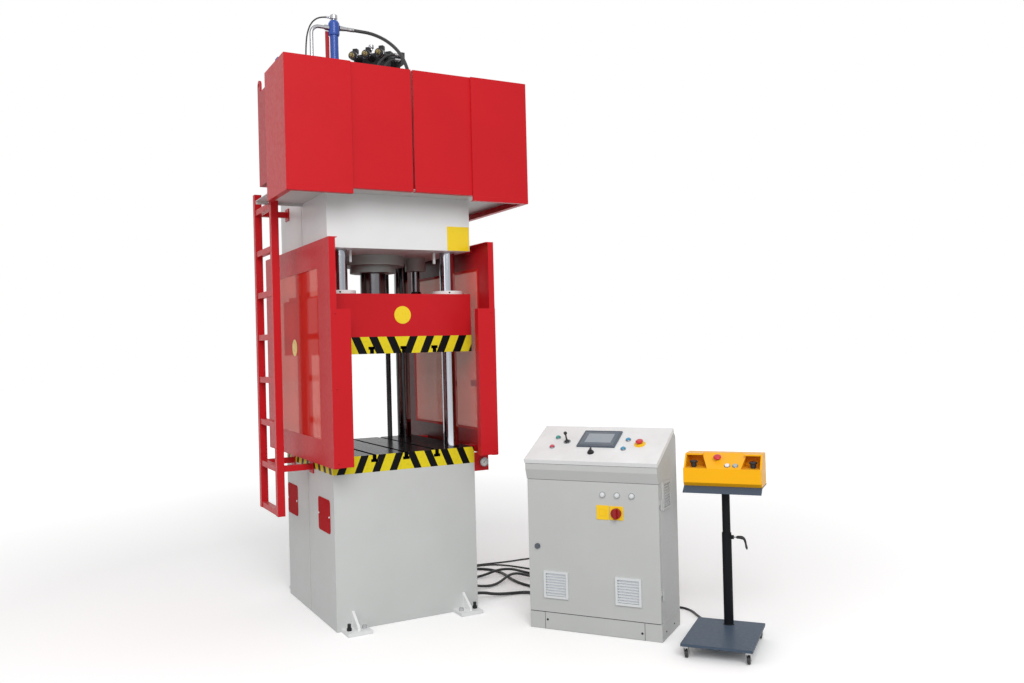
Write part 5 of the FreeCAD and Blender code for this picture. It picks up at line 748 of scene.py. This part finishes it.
CABLES = [
    ("thick_cable", "floor_cables", 9, 820, "medium", [(426, -330, 45), (486, -330, 45), (580, -334, 20),
     (684, -332, 9), (765, -352, 9), (818, -418, 9), (848, -510, 12), (866, -605, 28), (876.1, -706.4, 45),
     (790.6, -767.4, 45)]),
    ("second_cable", None, 8, 1411, "medium", [(426, -130, 45), (490, -130, 45), (584, -129, 20),
     (672, -121, 9), (744, -98, 20), (806, -66, 40), (880, -40, 40), (946, -58, 20), (993, -112, 8),
     (1017, -190, 8), (1024, -285, 8), (1018, -385, 8), (1004, -490, 8), (985, -595, 8), (962, -700, 24),
     (927.8, -804.7, 45), (854.5, -857, 45)]),
    ("third_cable", None, 8, 1576, "medium", [(426, 120, 45), (490, 120, 45), (584, 116, 20), (676, 113, 8),
     (752, 107, 20), (824, 96, 40), (904, 70, 40), (970, 26, 20), (1022, -34, 8), (1057, -120, 8),
     (1074, -230, 8), (1072, -342, 8), (1058, -452, 8), (1041, -560, 8), (1022, -665, 12), (1003, -762, 28),
     (956.9, -845.4, 45), (883.6, -897.7, 45)]),
    ("fourth_cable", None, 8, 1560, "medium", [(426, 330, 45), (496, 330, 45), (620, 338, 16), (745, 330, 8),
     (830, 268, 8), (868, 170, 8), (862, 60, 8), (842, -45, 8), (838, -150, 8), (858, -250, 8),
     (888, -350, 8), (907, -460, 8), (914, -570, 8), (916, -668, 24), (898.8, -764, 45),
     (825.5, -816.3, 45)]),
    ("fifth_cable", None, 5, 1948, "medium", [(426, 370, 45), (486, 370, 45), (576, 375, 24), (690, 384, 5),
     (815, 388, 5), (915, 368, 5), (985, 300, 5), (1032, 212, 5), (1074, 118, 5), (1107, 15, 5),
     (1127, -92, 5), (1136, -200, 5), (1133, -310, 5), (1123, -425, 5), (1108, -540, 5), (1090, -655, 8),
     (1068, -765, 16), (1046, -862, 32), (1007.6, -932, 45), (941.6, -979.1, 45)]),
    ("sixth_cable", None, 5, 2356, "medium", [(426, 402, 45), (486, 402, 45), (590, 407, 22), (712, 415, 5),
     (830, 413, 5), (940, 396, 5), (1050, 376, 5), (1150, 378, 5), (1240, 368, 5), (1305, 300, 5),
     (1330, 190, 5), (1328, 60, 5), (1317, -60, 5), (1302, -180, 5), (1284, -300, 5), (1268, -420, 5),
     (1248, -540, 5), (1225, -655, 5), (1198, -765, 5), (1165, -868, 14), (1122, -950, 32),
     (1065.7, -1013.4, 45), (999.7, -1060.5, 45)]),
    ("stand_lead", "stand_cable", 6, 811, "medium", [(1081.5, -1174.1, 45), (1138.5, -1133.4, 45),
     (1203, -1078, 26), (1272, -1046, 8), (1335, -1088, 6), (1338, -1166, 6), (1310, -1240, 6),
     (1287, -1312, 6), (1261, -1373, 8), (1246, -1450, 24), (1225.6, -1515.7, 48), (1175.4, -1555.4, 48)]),
]
for row in CABLES:
    lead(CABLE_RUBBER, *row)

# --- Control cabinet ---
# Folded sheet-steel desk cabinet, powder-coated light grey with a fine grain.
# The desk lid is painted near white as painted light from above; vents, lamps and switches are bought parts.


def moulded(name, colour, roughness):
    """Smooth moulded plastic, which shows neither wear nor ripple."""
    return painted(name, colour, roughness, wear=0.0, peel=0.0)


CABINET_GREY = painted("cabinet grey", (0.505, 0.515, 0.505), 0.48, peel=0.00004)
# The lid is the cabinet's grey made near white: painted light from above. The pale console button shares it.
PALE_BUTTON_AND_LIT_LID = painted("lid light grey", (0.8, 0.81, 0.81), 0.45, peel=0.00004)
VENT_GREY = painted("vent plastic", (0.66, 0.68, 0.69), 0.5, wear=0.0)
FLEECE = painted("filter fleece", (0.72, 0.75, 0.8), 0.95, wear=0.0, peel=0.0006)
RED_PLASTIC = moulded("red plastic", (0.6, 0.03, 0.045), 0.25)
HANDLE_RED = moulded("handle red", (0.3, 0.007, 0.008), 0.3)
PINK_RED = moulded("button red", (0.62, 0.06, 0.11), 0.3)
GREEN_PLASTIC = moulded("green plastic", (0.026, 0.3, 0.25), 0.25)
BLUE_PLASTIC = moulded("blue plastic", (0.045, 0.29, 0.5), 0.25)
PLATE_YELLOW = painted("plate yellow", (0.9, 0.57, 0.012), 0.35, wear=0.0)
LOCK_CHROME = bare_metal("lock chrome", (0.32, 0.33, 0.35), 0.15)
LOCK_DARK = bare_metal("dark chrome", (0.1, 0.11, 0.13), 0.2)
SCREEN_FRAME = moulded("screen frame", (0.085, 0.105, 0.135), 0.3)
SCREEN_GLASS = moulded("screen glass", (0.11, 0.135, 0.17), 0.12)
SCREEN_LIT = moulded("screen display", (0.3, 0.345, 0.385), 0.15)
for row in (
    (CABINET_GREY, "cabinet_body", "cabinet_door"), (PALE_BUTTON_AND_LIT_LID, "desk_lid"), (VENT_GREY, "door_fittings"),
    (HANDLE_RED, "main_switch"), (LOCK_DARK, "door_lock"), (SCREEN_FRAME, "touchscreen"),
    (GREEN_PLASTIC, "green_button"), (PINK_RED, "red_button"),
    (BLUE_PLASTIC, "blue_button_one", "blue_button_two"),
    (RED_PLASTIC, "desk_stop_button", "console_stop_button"),
    (BLACK_PLASTIC, "joystick", "key_switch", "palm_button_left", "palm_button_right"),
):
    dress(*row)


def station(x, y, turn):
    """A turned station's place on the floor, its direction across and its direction inwards."""
    turn = math.radians(turn)
    across = np.array([math.cos(turn), math.sin(turn), 0.0])
    return np.array([x, y, 0.0]), across, np.cross(Z_AXIS, across)


cabinet_at, cabinet_across, cabinet_in = station(479.0, -916.0, -54.5)
CABINET_WIDE = 702


def on_front(inward=0.0):
    """A seat on the cabinet's front, inward mm behind the door's face."""
    return seat(cabinet_at + inward * cabinet_in, cabinet_across, Z_AXIS)


side_seat = seat(cabinet_at + CABINET_WIDE * cabinet_across, cabinet_in, Z_AXIS)
LAMP_SPOTS = [(413, 704), (489, 704), (565, 704)]
fitted(
    "vent_mats", plaque(109, 113, 1.4, 1.0, 0.3), on_front(2.4), FLEECE, "cabinet_door",
    [(151, 232), (537, 232)],
)
fitted("side_vent_mat", plaque(109, 113, 0.8, 1.0, 0.2), side_seat, FLEECE, "press", [(117, 701)])
lens = turned([(11.4, 0.2), (11.4, 9), (10.9, 11), (9.3, 12.6), (6, 13.6), (2, 13.9)], 7)
legend_edge = [(1, 2.5), (3.5, 2.5), (3.5, 3.6), (3, 4), (1.5, 4), (1, 3.6)]
fit_all(on_front(), "cabinet_door", [
    ("lamp_rings", collar(11.8, 15.5, 5.0, 1.2), LOCK_CHROME, *LAMP_SPOTS),
    ("lamp_lenses", lens, VENT_GREY, *LAMP_SPOTS),
    ("legend_plate", plaque(68, 72, 2.6, 3.0, 1.0), PLATE_YELLOW, (413, 616)),
    ("legend_rim", carried_round(oblong(15, 15), legend_edge, 4, ring=True), PLATE_YELLOW, (413, 618)),
    ("switch_plate", plaque(68.8, 68.8, 3.3, 2.5, 0.3), PLATE_YELLOW, (485, 616)),
])
insert = turned([(9.5, 8.2), (9.5, 8.9), (9, 9.3)])
fitted("lock_insert", insert, on_front(), LOCK_DARK, "door_lock", [(52, 424)])
fit_all(on_front(4.0), "press", [
    ("plinth_cover", plaque(529, 84, 1.3, 1.0, 0.5), CABINET_GREY, (349, 44)),
    ("plinth_seams", plaque(1.6, 84, 1.0, 0.5, 0.2), BLACK_OXIDE, (83.4, 44), (614.6, 44)),
])
# A black strip under the door: a painted shadow of the door's gap.
fitted("door_shadow_strip", plaque(694, 3, 2.5, 0.5, 0.3), on_front(4.5), BLACK_PLASTIC, "press", [(351, 88)])
fitted("plinth_screws", screw_head(6, 3), on_front(2.7), BLACK_OXIDE, "press", [(97, 49), (601, 34)])
fit_all(side_seat, "press", [
    ("plinth_side_cover", plaque(300, 84, 1.3, 1.0, 0.5), CABINET_GREY, (160, 44)),
    ("plinth_side_screws", screw_head(4.5, 2.5), BLACK_OXIDE, (71, 36, 1.3), (210, 36, 1.3)),
])

LID_SLOPE = math.radians(25.13)
lid_up = math.cos(LID_SLOPE) * cabinet_in + math.sin(LID_SLOPE) * Z_AXIS
lid_out = np.cross(cabinet_across, lid_up)
lid_foot = cabinet_at - 18 * cabinet_in + 852 * Z_AXIS
lid_top = seat(lid_foot + 22.5 * lid_out, cabinet_across, lid_up)
# A thin black strip along the lid's front and side edges.
for side, across, wide, middle in (
    ("front", cabinet_across, CABINET_WIDE, 351), ("right", lid_up, 330, 167), ("left", -lid_up, 330, -167),
):
    corner = lid_foot + (CABINET_WIDE * cabinet_across if side == "right" else 0.0)
    fitted(
        f"lid_edge_strip_{side}", plaque(wide, 4, 1.0, 1.0, 0.4), seat(corner, across, lid_out), BLACK_PLASTIC,
        "desk_lid", [(middle, -1.5)],
    )
fit_all(lid_top, "desk_lid", [
    ("button_rings", collar(11.6, 13.8, 6.5), LOCK_CHROME, (113, 213), (112, 121), (502, 207), (500, 120)),
    ("joystick_ring", collar(14.4, 19, 4.5), LOCK_CHROME, (176, 176)),
    ("key_ring", collar(14.6, 17, 6), BLACK_PLASTIC, (339, 79)),
    ("stop_plate", collar(10.4, 30, 1.6), PLATE_YELLOW, (572, 172)),
    ("stop_collar", collar(10.4, 15.5, 6.8), PLATE_YELLOW, (572, 172)),
])
screen_edge = [(-1, -0.5), (2.9, -0.5), (2.9, 0.5), (1.5, 1.6), (0, 1.6), (-1, 0.6)]
fit_all(seat(lid_top[0] + 8 * lid_out, cabinet_across, lid_up), "desk_lid", [
    ("screen_glass", plaque(184, 126, 0.8, 2.0, 0.3), SCREEN_GLASS, (347.5, 207)),
    ("screen_display", plaque(142, 86, 0.4, 1.0, 0.2), SCREEN_LIT, (347.5, 209, 0.8)),
    ("screen_rim", carried_round(oblong(100, 73.5), screen_edge, 4, ring=True), SCREEN_FRAME, (347.5, 206)),
])

# --- Two-hand stand ---
# A blue-grey plate on four casters with a telescopic black post. The console
# on top is folded sheet, powder-coated orange-yellow.

stand_at, stand_across, stand_in = station(1193.0, -1618.0, -51.7)
STAND_BLUE = (0.07, 0.095, 0.135)


def stand_tone(tree):
    """Blue-grey sheet for plate and tray, near black for the post, told apart by the place."""
    parts = split(tree, object_place(tree))
    from_post = calc(tree, "SUBTRACT", parts["X"], metres(stand_at[0]))
    aside = calc(tree, "SUBTRACT", parts["Y"], metres(stand_at[1]))
    away = add(tree, "CombineXYZ", {"X": from_post, "Y": aside}).outputs[0]
    distance = add(tree, "VectorMath", {0: away}, operation="LENGTH").outputs["Value"]
    near_post = calc(tree, "LESS_THAN", distance, 0.04)
    above = calc(tree, "GREATER_THAN", parts["Z"], 0.075)
    below = calc(tree, "LESS_THAN", parts["Z"], 0.751)
    return mixed(tree, product(tree, near_post, above, below), STAND_BLUE, (0.008, 0.009, 0.011))


STAND_PAINT = painted(
    "stand blue-grey", STAND_BLUE, 0.4, dust=0.0, gloss=0.08, tone=stand_tone
)
CONSOLE_YELLOW = painted("console yellow", (0.93, 0.45, 0.006), 0.36, wear=0.05, gloss=0.15)
WHEEL_BLACK = rubber("wheel rubber", (0.02, 0.02, 0.022), 0.5)
FORK_STEEL = bare_metal("zinc plate", (0.45, 0.45, 0.46), 0.3)
dress(STAND_PAINT, "stand_base", "stand_post")
dress(FORK_STEEL, *(f"caster_fork_{number}" for number in range(1, 5)))
dress(WHEEL_BLACK, *(f"caster_wheel_{number}" for number in range(1, 5)))
# The console's ledge and the top of its hoods, and a wall's places across at its foot and at its top.
LEDGE_HIGH, HOOD_HIGH = 843, 900
LEFT_FOOT, RIGHT_FOOT, WALL_TOP = 70.0, 90.0, 106


def housing():
    """The console's sheet, with the inner walls of its two pockets leaning out over them. A point on a wall
    or on a hood's inner edge keeps its height and depth, and its place across is a line in the height."""
    sheet = bmesh.new()
    sheet.from_mesh(nodes["console_shell"].data)
    bmesh.ops.remove_doubles(sheet, verts=sheet.verts, dist=0.00001)
    bmesh.ops.dissolve_limit(sheet, angle_limit=math.radians(1), verts=sheet.verts, edges=sheet.edges)
    mesh = bpy.data.meshes.new("console_housing")
    sheet.to_mesh(mesh)
    sheet.free()
    points = np.empty(3 * len(mesh.vertices))
    mesh.vertices.foreach_get("co", points)
    points = points.reshape(-1, 3) / MM
    across = (points - stand_at) @ stand_across
    high = points[:, 2]
    wall = 103 - 0.36 * (high - LEDGE_HIGH)
    on_wall = (np.abs(np.abs(across) - wall) < 0.6) & (high > LEDGE_HIGH - 0.5)
    on_hood = (np.abs(np.abs(across) - 76) < 0.6) & (high > HOOD_HIGH - 1)
    foot = np.where(across < 0, LEFT_FOOT, RIGHT_FOOT)
    leaning = foot + (WALL_TOP - foot) * (high - LEDGE_HIGH) / (HOOD_HIGH - LEDGE_HIGH)
    reach = np.where(on_hood, 101.0, np.where(on_wall, leaning, np.abs(across)))
    points += (np.sign(across) * reach - across)[:, None] * stand_across
    mesh.vertices.foreach_set("co", (points * MM).ravel())
    mesh.shade_smooth()
    mesh.set_sharp_from_angle(angle=math.radians(12))
    mesh.materials.clear()
    mesh.materials.append(CONSOLE_YELLOW)
    made = in_scene("console_housing", mesh)
    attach(made, "stand_post")
    return made


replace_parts(housing(), "console_shell")


def swept(line, reach, steps=16):
    """A round bar along a line in the x-z plane. Each ring of points lies across the line, at the line's
    reach from it along the line's flat normal and along y."""
    along = np.gradient(line, axis=0)
    along /= np.linalg.norm(along, axis=1)[:, None]
    still = np.zeros(len(line))
    flat = np.column_stack([-along[:, 1], still, along[:, 0]])
    centres = np.column_stack([line[:, 0], still, line[:, 1]])
    ahead = np.column_stack([along[:, 0], still, along[:, 1]])
    angle = (np.arange(steps) * math.tau / steps)[:, None]
    rings = flat[:, None] * np.cos(angle) + np.cross(ahead, flat)[:, None] * np.sin(angle)
    points = centres[:, None] + rings * np.array(reach)[:, None, None]
    return points.reshape(-1, 3), grid_faces(len(line), steps, False)


# The handle's middle line is a cubic that leaves the stud level and ends nearly upright.
LEVER_START, LEVER_HIGH = 34.8, 500
part = np.linspace(0.0, 1.0, 30)[:, None]
handle_line = (
    (1 - part) ** 3 * (LEVER_START + 12, 0) + 3 * (1 - part) ** 2 * part * (LEVER_START + 58, 4)
    + 3 * (1 - part) * part**2 * (LEVER_START + 50, -8) + part**3 * (LEVER_START + 61, -56)
)
handle_reach = np.interp(part[:, 0], [0, 0.03, 0.25, 0.5, 0.8, 0.94, 1], [6, 7.4, 8.8, 6.2, 4.8, 6.0, 3])
lever_seat = seat(stand_at + (0, 0, LEVER_HIGH), stand_across, stand_in)
handle = fitted("clamp_handle", swept(handle_line, handle_reach), lever_seat, BLACK_PLASTIC, "clamp_lever")
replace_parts(handle, "clamp_lever")
stud_seat = seat(stand_at + LEVER_START * stand_across + (0, 0, LEVER_HIGH), stand_in, Z_AXIS)
fitted("clamp_stud", sleeve(4, 14, 0, 0, 5), stud_seat, BRIGHT, "clamp_lever")
hub = turned([(13, -0.5), (13, 0.2), (12, 0.6), (4, 0.6)])
for number in range(1, 5):
    wheel = f"caster_wheel_{number}"
    low, high = (np.array(corner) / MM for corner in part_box(wheel))
    for side, facing in (("near", 1), ("far", -1)):
        hub_seat = seat((low + high) / 2 + 8 * facing * stand_across, stand_in * facing, Z_AXIS)
        fitted(f"wheel_hub_{number}_{side}", hub, hub_seat, FORK_STEEL, wheel)
CONSOLE_SLOPE = math.atan2(65, 105)
slope_up = math.cos(CONSOLE_SLOPE) * stand_in + math.sin(CONSOLE_SLOPE) * Z_AXIS
button = turned([(11.4, 0.2), (11.4, 6), (10.4, 7.4), (3, 8)], 7)
fit_all(seat(stand_at - 95 * stand_in + LEDGE_HIGH * Z_AXIS, stand_across, slope_up), "stand_post", [
    ("console_pale_button", button, PALE_BUTTON_AND_LIT_LID, (24, 24)),
    ("console_grey_button", button, PRIMER_GREY, (62, 24)),
    ("console_button_rings", collar(11.8, 14, 4), LOCK_CHROME, (24, 24), (62, 24)),
    ("console_stop_collar", collar(10.4, 15.5, 6.8), PLATE_YELLOW, (-27, 67)),
])

# --- Camera ---
# Fitted to the photo: a normal lens at eye height, a little off to the left of
# the machine, level but for a small roll.

YAW, PITCH, ROLL = map(math.radians, (28.73, 0.254, -1.439))
CAMERA_PLACE = (-1.824, -4.9934, 1.4588)
FOCAL_PIXELS, PICTURE_PIXELS, SENSOR = 903.1, 1024, 36.0
ahead = np.array([math.sin(YAW) * math.cos(PITCH), math.cos(YAW) * math.cos(PITCH), math.sin(PITCH)])
level = np.array([math.cos(YAW), -math.sin(YAW), 0.0])
upward = np.cross(level, ahead)
right = math.cos(ROLL) * level + math.sin(ROLL) * upward
top = -math.sin(ROLL) * level + math.cos(ROLL) * upward


def stood(made, place, *axes):
    """Sets an object's place and its three axes."""
    made.matrix_world = Matrix.Translation(place) @ Matrix(np.column_stack(axes).tolist()).to_4x4()


lens = bpy.data.cameras.new("camera")
lens.sensor_width = SENSOR
lens.lens = FOCAL_PIXELS * SENSOR / PICTURE_PIXELS
lens.clip_end = 100.0
camera = in_scene("camera", lens)
stood(camera, CAMERA_PLACE, right, top, -ahead)
bpy.context.scene.camera = camera

# --- Floor, backdrop and light ---
# A cut-out product picture: white all round, with only the soft shadow on the
# floor. Large soft boxes light it from the front left and from above.


def floor_sheet(half, steps):
    """A flat sheet of steps by steps quads, from -half to half both ways."""
    line = np.linspace(-half, half, steps + 1)
    across, along = np.meshgrid(line, line)
    points = np.column_stack([across.ravel(), along.ravel(), np.zeros(across.size)])
    first = (np.arange(steps)[:, None] * (steps + 1) + np.arange(steps)).ravel()
    faces = np.column_stack([first, first + 1, first + steps + 2, first + steps + 1])
    mesh = bpy.data.meshes.new("studio floor")
    mesh.from_pydata(points.tolist(), [], faces.tolist())
    return mesh


def seen_rays(tree):
    """1 for the rays that show the background: straight, in a mirror, or through glass."""
    rays = add(tree, "LightPath").outputs
    seen = calc(tree, "MAXIMUM", rays["Is Camera Ray"], rays["Is Transmission Ray"])
    return calc(tree, "MAXIMUM", seen, rays["Is Glossy Ray"])


floor = in_scene("studio floor", floor_sheet(40.0, 8))
floor.location = (0.0, 0.0, -0.0005)
floor_paint, tree, surface = material("studio floor")
away = add(tree, "VectorMath", {0: object_place(tree)}, operation="LENGTH").outputs["Value"]
# The light falls off away from the object, and the white that is seen makes up for it.
whiteness = mixed(tree, seen_rays(tree), (0.45, 0.45, 0.45), ranged(tree, away, 2.2, 7.0, 1.12, 1.75))
tree.links.new(add(tree, "BsdfDiffuse", {"Color": whiteness}).outputs[0], surface)
floor.data.materials.append(floor_paint)

world = bpy.data.worlds.new("studio")
world.use_nodes = True
bpy.context.scene.world = world
tree = world.node_tree
tree.nodes.clear()
brightness = ranged(tree, seen_rays(tree), 0.0, 1.0, 0.62, 1.0)
backdrop = add(tree, "Background", {"Color": (1.0, 1.0, 1.0), "Strength": brightness})
tree.links.new(backdrop.outputs[0], add(tree, "OutputWorld").inputs["Surface"])


def soft_box(name, place, aim, size, power):
    """A square area light at place that looks at aim."""
    light = bpy.data.lights.new(name, "AREA")
    light.shape = "SQUARE"
    light.size = size
    light.energy = power
    away = np.array(place) - np.array(aim)
    away = away / np.linalg.norm(away)
    side = np.cross(Z_AXIS, away)
    side = side / np.linalg.norm(side)
    made = in_scene(name, light)
    stood(made, place, side, np.cross(away, side), away)


soft_box("key light", (-2.0, -7.0, 4.8), (0.2, -0.4, 1.2), 4.0, 330.0)
soft_box("fill light", (-5.5, -2.5, 3.0), (0.0, -0.3, 1.2), 3.0, 40.0)
bpy.context.scene.view_settings.view_transform = "Standard"
